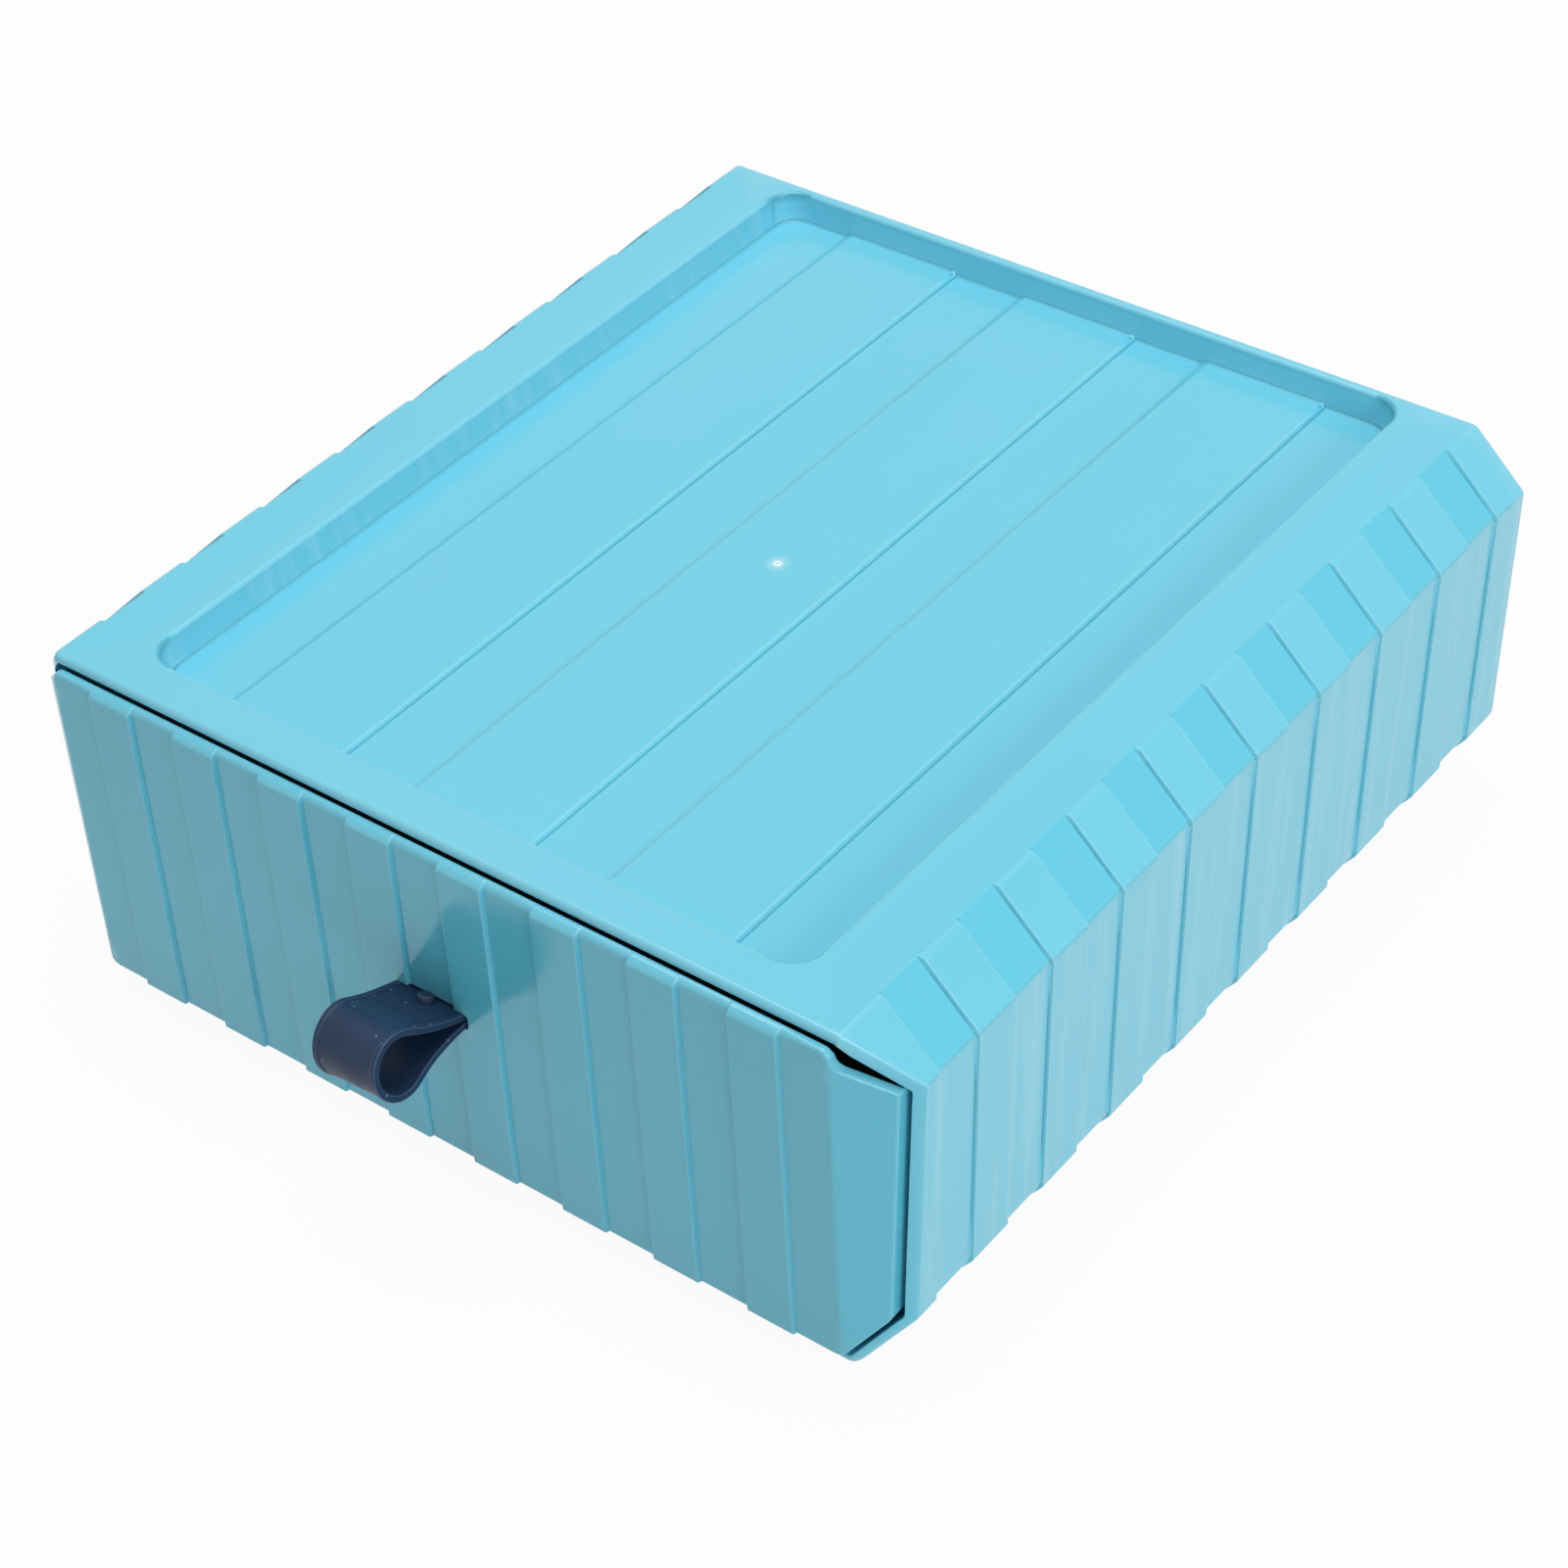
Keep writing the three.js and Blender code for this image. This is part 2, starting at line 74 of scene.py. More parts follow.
# Roundings of the casing's ridges: underside, belly, shoulder and top
OUTSIDE_RADII = (5, 3, 2, 2.6)
SUNKEN_RADII = (5, 3, 2, 0.7)
INSIDE_RADII = (2.5, 1.5, 0.8, 0.8)
LIP_RADIUS = 1.6
LIP_STEPS = 7
LIP_INNER_RADIUS = 0.5
FLASH_HEIGHT = 0.12
BACK_RADIUS = 1

# Planks sunk into the casing's sides
PLANKS = 9
PLANK_WIDTH = 13.9
PLANK_PITCH = 27.78
PLANK_FRONT = 16
PLANK_DEPTH = 0.8
PLANK_EDGE = 0.5

# Tray
TRAY_DEPTH = 8
TRAY_DRAFT = 1.4
TRAY_RIM_SIDE = 18.7
TRAY_RIM_FRONT = 12.2
TRAY_RIM_BACK = 2.8
TRAY_CORNER = 8
TRAY_RIM_RADIUS = 1.2
TRAY_BASE_RADIUS = 0.8
TRAY_WALL = 2.2
CEILING_RADIUS = 0.5
BOARD_WIDTH = 35.3
BOARD_PITCH = 56.9
BOARD_HEIGHT = 1
BOARD_EDGE = 1.1
BOARD_LEFT_EDGE = 2.8
BOARD_LEFTS = np.array([-BOARD_PITCH, 0, BOARD_PITCH]) - BOARD_WIDTH / 2
BOARD_RIGHTS = BOARD_LEFTS + BOARD_WIDTH

# Gate mark on the middle board
GATE_DEPTH = 131
GATE_RADIUS = 1.0
GATE_HEIGHT = 0.25
GATE_RIM = 0.25
GATE_DIMPLE = 0.18
GATE_DIMPLE_EDGE = 0.3
GATE_MIDDLE = 0.96
GATE_SEAT = 0.02

# Foot ring and runners
FOOT_CLEARANCE = 1.2
FOOT_WALL = 2.4
FOOT_RADIUS = 0.6
RUNNER_SPACING = 150
RUNNER_WIDTH = 3
RUNNER_HEIGHT = 1.2
RUNNER_FRONT = 14
RUNNER_EDGE = 0.5

# Drawer, with the sizes of its solid
SIDE_GAP = 1.4
SHOULDER_GAP = 0.8
DRAWER_LIFT = 4
DRAWER_WALL = 2
DRAWER_FLOOR = 2
BACK_GAP = 1.2
DRAWER_BACK = CASING_DEPTH - BACK_WALL - BACK_GAP
TUB_RADIUS = 4.5
BACK_CORNER = 9
TURN_DEPTH = DRAWER_BACK - BACK_CORNER
FRONT_STAND = 2.5
FRONT_WALL = 2.2
FRONT_INSET = 1.1
FRONT_DROP = 3.2
FRONT_BEND = 2.4
CURVE_INSET = 4.4
CURVE_WIDTH = 6.4
CURVE_DROP = 6.2
CURVE_REACH = 3

# The drawer's underside and the top of its front, and where the front bends back and how much
BOTTOM = BASE + DRAWER_LIFT
HEAD = TOP - FRONT_DROP
FRONT_SLANT = math.atan2(MOUTH_SETBACK, SHOULDER)
BEND_START = HALF_TOP - FRONT_INSET - FRONT_BEND * math.tan(FRONT_SLANT / 2)

# Roundings of the drawer
RIM_RADIUS = 1
CURVE_FOOT_RADIUS = 4.5
CURVE_HEAD_RADIUS = 2.4
TOP_EDGE = 1.8
TOP_EDGE_END = 112
TOP_EDGE_RUN = 12
TOP_EDGE_FOOT = 97
SIDE_EDGE = 0.9
FOOT_EDGE = 0.8
REAR_EDGE = 0.2
INNER_FILLET = 1.5
FILLET_RUN = 4
BACK_FOOT = 2
BACK_FOOT_RISE = 1.3

# Planks that stand proud of the drawer's front
FRONT_PLANK = 13.1
FRONT_PLANK_PITCH = 27.1
FRONT_PLANK_DEPTH = 1
FRONT_PLANK_EDGE = 0.5
FRONT_CENTRES = (np.arange(8) - 3.5) * FRONT_PLANK_PITCH
FRONT_EDGES = np.concatenate([FRONT_CENTRES - FRONT_PLANK / 2, FRONT_CENTRES + FRONT_PLANK / 2])

# Columns of the front's mesh: between the planks, beside them, over the bend and out to the edge
BETWEEN_PLANKS = (4, 14.5, 24, 30, 51, 57, 78, 84)
PLANKS_END = 104
BESIDE_PLANKS = (107, 110, 112)
BEND_COLUMNS = HALF_TOP - FRONT_INSET + np.linspace(-1, 1, 6)
BESIDE_END = 116
BESIDE_MARGIN = 2
OUTER_SHARES = np.array([0.35, 0.7, 1])

# Slot for the strap
SLOT_CENTRE = 57.5
SLOT_HALF = np.array([11, 2.2])
SLOT_CORNER = 0.8
SLOT_ROUND = 0.25
SLOT_INNER = SLOT_HALF - SLOT_CORNER
SLOT_EDGE = SLOT_HALF + SLOT_ROUND
SLOT_LEVELS = SLOT_CENTRE + np.array([-SLOT_EDGE[1], -SLOT_INNER[1], 0, SLOT_INNER[1], SLOT_EDGE[1]])
BELOW_SLOT = np.linspace(28, 50, 5)
ABOVE_SLOT = np.linspace(64, 89, 5)
WALL_LEVELS = np.concatenate([BELOW_SLOT, SLOT_LEVELS, ABOVE_SLOT])

# Strap pull
STRAP_WIDTH = 20.8
STRAP_THICKNESS = 1.5
STRAP_LEG_GAP = 0.3
STRAP_REACH = 30.8
STRAP_LOOP_RADIUS = 9.1
STRAP_LOOP_RISE = 1.6
STRAP_LEG_BEND = 3
STRAP_LEG_RISE = 1.4
STRAP_TWIST = 8.8
STRAP_SKEW = 3.5
STRAP_LOOP_EASE = 8
STRAP_BEAD_WIDTH = 1.6
STRAP_BEAD_HEIGHT = 0.3
STRAP_EDGE_RADIUS = 0.3
STRAP_BEAD_SLOPE = 0.5
STRAP_MARGIN = 0.15
ANCHOR_WIDTH = 26
ANCHOR_HEIGHT = 3
ANCHOR_THICKNESS = 2
ANCHOR_GAP = 0.3
ANCHOR_RADIUS = 0.4
STUD_REACH = 3.2
STUD_HEAD_RADIUS = 1.9
STUD_HEAD_HEIGHT = 1.9
STUD_SEAT = 0.1
STUD_FOOT = 0.96
STUD_CROWN = 0.35
STUD_ROUNDNESS = 0.4

# Middle line of the strap's loop in y and z
LOOP_RADIUS = STRAP_LOOP_RADIUS - STRAP_BEAD_HEIGHT - STRAP_THICKNESS / 2
LOOP_CENTRE = np.array([-FRONT_STAND - STRAP_REACH + STRAP_LOOP_RADIUS, SLOT_CENTRE + STRAP_LOOP_RISE])
LOOP_OPENING = math.pi / 3
LEG_POINTS = 26
LOOP_POINTS = 62

# Photograph's camera: place in millimetres, turn in degrees, and its picture in pixels
CAMERA_PLACE = (460.7, -552.8, 641.2)
CAMERA_TURN = (49.881, 3.062, 37.810)
PICTURE = 1601
FOCAL_PIXELS = 3818.7
PRINCIPAL_POINT = (740, 815)
SENSOR = 36


class Shell:
    """Collects the points and faces of one mesh."""

    def __init__(self):
        self.points = []
        self.marks = []
        self.quads = []
        self.caps = []
        self.count = 0

    def add(self, points, marks=0.0):
        """Takes an array of points, each with a mark from 0 to 1, and returns the array of their numbers."""
        flat = np.asarray(points, float).reshape(-1, 3)
        numbers = self.count + np.arange(len(flat))
        self.points.append(flat)
        self.marks.append(np.broadcast_to(marks, np.shape(points)[:-1]).ravel())
        self.count += len(flat)
        return numbers.reshape(np.shape(points)[:-1])

    def skin(self, numbers, around=False, keep=None):
        """Lays a face on each cell of a table of point numbers; around joins the last column to the first."""
        if around:
            numbers = np.concatenate([numbers, numbers[:, :1]], 1)
        corners = [numbers[:-1, :-1], numbers[:-1, 1:], numbers[1:, 1:], numbers[1:, :-1]]
        cells = np.stack(corners, -1)
        self.quads.append(cells.reshape(-1, 4) if keep is None else cells[keep])

    def cap(self, loop):
        """Closes a ring of point numbers with one flat face."""
        self.caps.append(loop.tolist())


def face_arrays(mesh):
    """Normals, centres, areas and corner counts of a mesh's faces, and the vertex of each corner."""
    sides = len(mesh.polygons)
    normals, centres, areas = np.zeros(sides * 3), np.zeros(sides * 3), np.zeros(sides)
    totals, corners = np.zeros(sides, int), np.zeros(len(mesh.loops), int)
    mesh.polygons.foreach_get("normal", normals)
    mesh.polygons.foreach_get("center", centres)
    mesh.polygons.foreach_get("area", areas)
    mesh.polygons.foreach_get("loop_total", totals)
    mesh.loops.foreach_get("vertex_index", corners)
    return normals.reshape(-1, 3), centres.reshape(-1, 3), areas, totals, corners


def vertex_sums(values, corners, count):
    """Adds up the values of all corners at each vertex."""
    return np.stack([np.bincount(corners, column, count) for column in values.T], 1)


def weighted_normals(mesh):
    """The normal of a vertex is the sum of its faces' normals, each weighted by the face's area."""
    normals, _, areas, totals, corners = face_arrays(mesh)
    sums = vertex_sums(np.repeat(normals * areas[:, None], totals, axis=0), corners, len(mesh.vertices))
    return sums / np.maximum(np.linalg.norm(sums, axis=1, keepdims=True), 1e-12)


def ridges(mesh, points):
    """How far the faces' normals differ from their mean at each vertex.

    It is above 0 on a ridge, where the vertex stands above the middles of its faces, and below 0 in a groove.
    """
    normals, centres, _, totals, corners = face_arrays(mesh)
    each = np.repeat(normals, totals, axis=0)
    mean = vertex_sums(each, corners, len(points))
    mean /= np.maximum(np.linalg.norm(mean, axis=1, keepdims=True), 1e-12)
    spread = np.linalg.norm(each - mean[corners], axis=1)
    drop = np.einsum("ij,ij->i", points[corners] - np.repeat(centres, totals, axis=0), mean[corners])
    counts = np.maximum(np.bincount(corners, minlength=len(points)), 1)
    sign = np.sign(np.bincount(corners, drop, len(points)))
    return np.bincount(corners, spread, len(points)) / counts * sign


def set_values(mesh, name, values):
    """Stores one number for each point, for a material to read."""
    mesh.attributes.new(name, "FLOAT", "POINT").data.foreach_set("value", np.asarray(values, np.float32))


def piece(name, shell, material, body, node=None):
    """Makes a mesh object of a shell, faces outwards, and lets it ride on its body."""
    points = np.concatenate(shell.points) * MILLIMETRE
    points[:, 1] += MOUTH
    quads = np.concatenate(shell.quads)
    used, numbers = np.unique(np.concatenate([quads.ravel(), *shell.caps]), return_inverse=True)
    split = np.cumsum([quads.size] + [len(cap) for cap in shell.caps])
    parts = np.split(numbers.astype(int), split[:-1])
    faces = parts[0].reshape(-1, 4).tolist() + [cap.tolist() for cap in parts[1:]]
    mesh = bpy.data.meshes.new(name)
    mesh.from_pydata(points[used.astype(int)].tolist(), [], faces)
    model = bmesh.new()
    model.from_mesh(mesh)
    bmesh.ops.recalc_face_normals(model, faces=model.faces)
    model.to_mesh(mesh)
    model.free()
    set_values(mesh, "sunken", np.concatenate(shell.marks)[used.astype(int)])
    set_values(mesh, "ridge", ridges(mesh, points[used.astype(int)]))
    mesh.shade_smooth()
    mesh.normals_split_custom_set_from_vertices(weighted_normals(mesh).tolist())
    mesh.materials.append(material)
    made = bpy.data.objects.new(name, mesh)
    bpy.context.scene.collection.objects.link(made)
    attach(made, body)
    if node:
        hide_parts(node)
    return made


def loop_of(table):
    """The border of a table, once round."""
    return np.concatenate([table[0, :-1], table[:-1, -1], table[-1, :0:-1], table[:0:-1, 0]])


def ease(share):
    """A step with round shoulders: half a cosine wave from 0 to 1."""
    return 0.5 - 0.5 * np.cos(np.pi * np.clip(share, 0, 1))


def pulse(x, centre, width, edge):
    """1 inside a band of that width and 0 outside it, with eased edges."""
    return ease((width / 2 - np.abs(x - centre)) / edge + 0.5)


def board_rise(x):
    """1 on the tray's boards and 0 between them, with a soft left edge and a crisper right one."""
    rises = ease((x - BOARD_LEFTS[:, None]) / BOARD_LEFT_EDGE + 0.5)
    falls = ease((BOARD_RIGHTS[:, None] - x) / BOARD_EDGE + 0.5)
    return np.minimum(rises, falls).sum(0)


def samples_at_edges(edges, reach, count):
    """Places close together over each edge, with one more a little way off on either side."""
    over = np.linspace(-reach / 2, reach / 2, count)
    over = np.concatenate([[-reach / 2 - EDGE_MARGIN], over, [reach / 2 + EDGE_MARGIN]])
    return (np.asarray(edges, float)[:, None] + over).ravel()


def arc(centre, start, end, radius, steps):
    """Points of a circular arc from one direction to another, the short way."""
    first = np.arctan2(start[1], start[0])
    turn = (np.arctan2(end[1], end[0]) - first + np.pi) % (2 * np.pi) - np.pi
    angles = first + turn * np.linspace(0, 1, steps + 1)
    return np.asarray(centre) + radius * np.stack([np.cos(angles), np.sin(angles)], 1)


def offset_corners(corners, distances):
    """Moves each side of an outline inwards by its distance; a corner is where two moved sides cross."""
    sides = np.roll(corners, -1, axis=0) - corners
    sides /= np.linalg.norm(sides, axis=1, keepdims=True)
    inwards = np.stack([-sides[:, 1], sides[:, 0]], 1)
    points = corners + inwards * np.asarray(distances, float)[:, None]
    before, along = np.roll(points, 1, axis=0), np.roll(sides, 1, axis=0)
    gap = points - before
    cross = along[:, 0] * sides[:, 1] - along[:, 1] * sides[:, 0]
    share = (gap[:, 0] * sides[:, 1] - gap[:, 1] * sides[:, 0]) / cross
    return before + along * share[:, None]


def corner_arc(before, corner, after, radius, steps):
    """Rounds a corner of a counterclockwise outline: the arc's points and their outward normals."""
    arriving = (corner - before) / np.linalg.norm(corner - before)
    leaving = (after - corner) / np.linalg.norm(after - corner)
    turn = math.atan2(arriving[0] * leaving[1] - arriving[1] * leaving[0], arriving @ leaving)
    angles = math.atan2(-arriving[0], arriving[1]) + turn * np.linspace(0, 1, steps + 1)
    normals = np.stack([np.cos(angles), np.sin(angles)], 1)
    signed = math.copysign(radius, turn)
    start = corner - arriving * signed * math.tan(turn / 2)
    return start + signed * (normals - normals[0]), normals


def quarter(radius, angles):
    """Points of a quarter circle: its radius times 1 less the cosine and 1 less the sine of each angle."""
    return [(radius * (1 - math.cos(a)), radius * (1 - math.sin(a))) for a in angles]


# Casing

SIDE_STEPS = 4
ARC_STEPS = 8
TURN_STEPS = 7
RING_STEP = 0.05
FLASH_WAY = (1, 0.36)

# Columns and rows of its mesh: how many over an eased edge, and where the others lie
EDGE_SAMPLES = 7
BOARD_LEFT_SAMPLES = 15
RUNNER_SAMPLES = 4
TRAY_COLUMNS = np.linspace(-88, 88, 23)
UNDERSIDE_COLUMNS = np.linspace(-80, 80, 13)
LIP_DEPTHS = (LIP_RADIUS, 4, 8, 13)
INNER_FRONT = 4
INNER_DEPTHS = np.linspace(30, CASING_DEPTH - BACK_WALL, 9)


def section_corners():
    """Corners of the casing's octagon in x and z, up the right side and down the mirrored left one."""
    right = np.array([
        (HALF_UNDERSIDE, BASE),
        (HALF_BELLY, BASE + BELLY_HEIGHT),
        (HALF_WIDTH, TOP - SHOULDER),
        (HALF_TOP, TOP),
    ])
    return np.concatenate([right, right[::-1] * (-1, 1)])


def section(side_inset, flat_inset, radii, top_columns, bottom_columns):
    """The casing's outline in x and z, counterclockwise from the underside's right corner.

    The sides are moved inwards, the corners rounded, and the flats get points at the given columns.
    """
    distances = [side_inset] * 3 + [flat_inset] + [side_inset] * 3 + [flat_inset]
    corners = offset_corners(section_corners(), distances)
    every_radius = list(radii) + list(radii)[::-1]
    rows = []
    for i, corner in enumerate(corners):
        before, after = corners[i - 1], corners[(i + 1) % len(corners)]
        bend, _ = corner_arc(before, corner, after, every_radius[i], ARC_STEPS)
        rows.append(bend)
        if i == 3:
            rows.append(np.stack([top_columns[::-1], np.full(len(top_columns), corner[1])], 1))
        elif i == 7:
            rows.append(np.stack([bottom_columns, np.full(len(bottom_columns), corner[1])], 1))
        else:
            following = corners[(i + 2) % len(corners)]
            onwards = corner_arc(corner, after, following, every_radius[(i + 1) % 8], ARC_STEPS)[0][0]
            shares = np.linspace(0, 1, SIDE_STEPS + 2)[1:-1, None]
            rows.append(bend[-1] + (onwards - bend[-1]) * shares)
    return np.concatenate(rows)


def plate_columns(straight):
    """Columns of a plate with round corners: where each crosses the flat part, how far it turns at a corner,
    and where it meets the panel's straight border."""
    half = HALF_TOP - TRAY_RIM_SIDE - TRAY_DRAFT - (TRAY_CORNER - TRAY_DRAFT)
    inside = np.unique(np.round(straight[np.abs(straight) < half - PLANK_EDGE], 4))
    turns = np.linspace(0, np.pi / 2, TURN_STEPS + 1)
    flat = np.concatenate([np.full(TURN_STEPS + 1, -half), inside, np.full(TURN_STEPS + 1, half)])
    turn = np.concatenate([-turns[::-1], np.zeros(len(inside)), turns])
    border = flat + np.sign(turn) * (PANEL_HALF - half) * np.abs(turn) / (np.pi / 2)
    return {"flat": flat, "turn": turn, "border": border}


def plate(columns, shares, growth, height):
    """A flat plate with the tray's outline grown by a distance, as a table of points.

    Columns run from front to back; at the rounded corners they start and end on a quarter circle.
    """
    radius = TRAY_CORNER - TRAY_DRAFT
    front = TRAY_RIM_FRONT + TRAY_DRAFT + radius - (radius + growth) * np.cos(columns["turn"])
    back = CASING_DEPTH - TRAY_RIM_BACK - TRAY_DRAFT - radius + (radius + growth) * np.cos(columns["turn"])
    x = columns["flat"] + (radius + growth) * np.sin(columns["turn"])
    y = front + (back - front) * shares[:, None]
    z = np.broadcast_to(height, x.shape)
    return np.stack([np.broadcast_to(x, y.shape), y, np.broadcast_to(z, y.shape)], -1)


def recess(shell, border, columns, depths, profile, limit=None):
    """Fills a panel of the casing with rings that follow a profile of growth and height, and a plate.

    Their rows are spread from front to back as the panel's rows are.
    """
    shares = (depths - depths[0]) / (depths[-1] - depths[0])
    levels = [plate(columns, shares, growth, height) for growth, height in profile]
    if limit is not None:
        for i, level in enumerate(levels):
            level[..., 1] = np.minimum(level[..., 1], limit - RING_STEP * (i + 1))
    floor = shell.add(levels[-1])
    rings = [loop_of(border)] + [shell.add(loop_of(level)) for level in levels[:-1]] + [loop_of(floor)]
    shell.skin(np.array(rings), around=True)
    shell.skin(floor)


def tray_profile(columns):
    """The tray's rounded rim, drafted wall and rounded foot; the floor is higher under the three boards."""
    boards = board_rise(columns["flat"]) * (np.abs(columns["turn"]) == 0)
    floor = TRAY_DEPTH - BOARD_HEIGHT * boards
    angles = np.linspace(np.pi / 2, 0, ARC_STEPS)
    rim = [(TRAY_DRAFT + out, TOP - down) for out, down in quarter(TRAY_RIM_RADIUS, angles)]
    foot = [(-down, TOP - floor + out) for out, down in quarter(TRAY_BASE_RADIUS, angles)]
    return rim + foot


def foot_profile():
    """The foot ring from the underside down: its outer wall, rounded edges on the table, and inner wall."""
    bend = quarter(FOOT_RADIUS, np.linspace(0, np.pi / 2, EDGE_STEPS))
    inside = -FOOT_CLEARANCE - FOOT_WALL
    root = [(-FOOT_CLEARANCE + rise, BASE - out) for out, rise in bend]
    outer = [(-FOOT_CLEARANCE - out, rise) for out, rise in bend]
    inner = [(inside + out, rise) for out, rise in bend[::-1]]
    end = [(inside - rise, BASE - out) for out, rise in bend[::-1]]
    return root + outer + inner + end


def underside_profile():
    """The ceiling inside, stepped down under the tray by the tray's wall."""
    low = TOP - TRAY_DEPTH - TRAY_WALL
    return [
        (TRAY_WALL + TRAY_DRAFT + CEILING_RADIUS, TOP - CASING_WALL),
        (TRAY_WALL + TRAY_DRAFT, TOP - CASING_WALL - CEILING_RADIUS),
        (TRAY_WALL, low + CEILING_RADIUS),
        (TRAY_WALL - CEILING_RADIUS, low),
    ]


def mouth_at(x):
    """How far the mouth is set back at a distance from the middle."""
    return np.maximum(np.abs(x) - HALF_TOP, 0) * MOUTH_SETBACK / SHOULDER


PLANK_EDGES = [PLANK_FRONT + i * PLANK_PITCH + side * PLANK_WIDTH for i in range(PLANKS) for side in (0, 1)]


def outer_depths():
    """Depths of the outer skin's rows, close together where a plank starts or ends."""
    planks = samples_at_edges(PLANK_EDGES, PLANK_EDGE, EDGE_SAMPLES)
    between = (np.array(PLANK_EDGES)[1:] + np.array(PLANK_EDGES)[:-1]) / 2
    last = CASING_DEPTH - BACK_RADIUS
    return np.sort(np.concatenate([LIP_DEPTHS, planks, between, [(PLANK_EDGES[-1] + last) / 2, last]]))


def casing_rows():
    """The inset and depth of every row, and the numbers of the rows at which its stretches start.

    The rows go round the back edge, forwards along the outside, round the lip and back along the inside.
    """
    back = quarter(BACK_RADIUS, np.linspace(np.pi / 2, 0, EDGE_STEPS)[:-1])
    round_back = [(inset, CASING_DEPTH - depth) for inset, depth in back]
    skin = [(0, depth) for depth in outer_depths()[::-1]]
    lip = quarter(LIP_RADIUS, np.linspace(0, np.pi / 2, LIP_STEPS + 1)[1:])
    share = LIP_INNER_RADIUS / LIP_RADIUS
    lip += [(CASING_WALL - inset * share, depth * share) for inset, depth in lip[::-1]]
    runner_start = RUNNER_FRONT + RUNNER_EDGE * np.array([-1, -0.5, 0, 0.5, 1])
    inner_depths = np.concatenate([[LIP_INNER_RADIUS, INNER_FRONT], runner_start, INNER_DEPTHS])
    stretches = [round_back, skin, lip, [(CASING_WALL, depth) for depth in inner_depths]]
    return np.concatenate(stretches).T, np.cumsum([0] + [len(stretch) for stretch in stretches])


def casing_columns():
    """Columns over the tray and the underside, close together at the edges of the boards and the runners."""
    boards = [samples_at_edges(BOARD_LEFTS, BOARD_LEFT_EDGE, BOARD_LEFT_SAMPLES),
              samples_at_edges(BOARD_RIGHTS, BOARD_EDGE, EDGE_SAMPLES)]
    edges = [side * RUNNER_SPACING / 2 + edge * RUNNER_WIDTH / 2 for side in (-1, 1) for edge in (-1, 1)]
    runners = samples_at_edges(edges, RUNNER_EDGE, RUNNER_SAMPLES)
    return (plate_columns(np.concatenate([*boards, TRAY_COLUMNS])),
            plate_columns(np.concatenate([runners, UNDERSIDE_COLUMNS])))


def raise_flash(outline):
    """Draws out the point of the outline on each lower shoulder ridge, for the fine parting line there."""
    crest = 2 * (ARC_STEPS + 1 + SIDE_STEPS) + ARC_STEPS // 2
    mirrored = np.argmin(np.linalg.norm(outline - outline[crest] * (-1, 1), axis=1))
    outwards = arc((0, 0), FLASH_WAY, FLASH_WAY, FLASH_HEIGHT, 0)[0]
    outline[crest] += outwards
    outline[mirrored] += outwards * (-1, 1)


def casing_table(flats, insets, depths, plank):
    """The points of every row of the casing.

    A row blends the outer section with the sunken one by its plank share, and then with the inner one by its
    inset. Rows in front of the first plank are set back at the shoulders as the mouth is, less and less.
    """
    outside = section(0, 0, OUTSIDE_RADII, *flats)
    sunken = section(PLANK_DEPTH, 0, SUNKEN_RADII, *flats)
    inside = section(CASING_WALL, CASING_WALL, INSIDE_RADII, *flats)
    raise_flash(outside)
    raise_flash(sunken)
    outline = outside + (sunken - outside) * plank[:, None, None]
    outline = outline + (inside - outline) * (insets / CASING_WALL)[:, None, None]
    compress = np.clip(1 - depths / (PLANK_FRONT - PLANK_EDGE), 0, 1)[:, None]
    y = depths[:, None] + mouth_at(outline[..., 0]) * compress
    return np.stack([outline[..., 0], y, outline[..., 1]], -1)


def raise_runners(floor):
    """Lifts the two runners out of the floor inside, with eased sides and front ends."""
    sides = (-RUNNER_SPACING / 2, RUNNER_SPACING / 2)
    runner = sum(pulse(floor[..., 0], side, RUNNER_WIDTH, RUNNER_EDGE) for side in sides)
    runner = runner * ease((floor[..., 1] - RUNNER_FRONT) / RUNNER_EDGE + 0.5)
    floor[..., 2] += RUNNER_HEIGHT * runner


def casing_shell():
    """Carries the casing's section along y: round the back, along the outside, and in round the lip.

    The tray, the foot ring and the ceiling under the tray are let into its flat panels.
    """
    tray, underside = casing_columns()
    flats = (tray["border"], underside["border"])
    (insets, depths), (_, skin, lip, inner, _) = casing_rows()
    plank = sum(pulse(depths, PLANK_FRONT + i * PLANK_PITCH + PLANK_WIDTH / 2, PLANK_WIDTH, PLANK_EDGE)
                for i in range(PLANKS)) * (insets == 0)
    table = casing_table(flats, insets, depths, plank)
    raise_runners(table[inner:, -len(flats[1]):])

    rows, size = table.shape[:2]
    top_start = 4 * (ARC_STEPS + 1) + 3 * SIDE_STEPS
    top = np.arange(top_start + len(flats[0]) - 1, top_start - 1, -1)
    bottom = np.arange(size - len(flats[1]), size)
    sides = np.ones(size)
    sides[top_start - 2:top_start + len(flats[0]) + 2] = 0
    sides[bottom[0] - 2:] = 0
    shell = Shell()
    # Each point's mark is its plank share on the walls and shoulders, which the material uses for painted
    # shade on sunken facets
    numbers = shell.add(table, plank[:, None] * sides)

    keep = np.ones((rows - 1, size), bool)
    keep[skin:lip - 1, top[1:]] = False
    keep[skin:lip - 1, bottom[:-1]] = False
    keep[inner:, top[1:]] = False
    shell.skin(numbers, around=True, keep=keep)
    shell.cap(numbers[0])
    shell.cap(numbers[-1])

    skin_rows = np.arange(lip - 1, skin - 1, -1)
    recess(shell, numbers[np.ix_(skin_rows, top)], tray, depths[skin_rows], tray_profile(tray))
    recess(shell, numbers[np.ix_(skin_rows, bottom)], underside, depths[skin_rows], foot_profile())
    recess(shell, numbers[inner:, top], tray, depths[inner:], underside_profile(), CASING_DEPTH - BACK_WALL)
    return shell


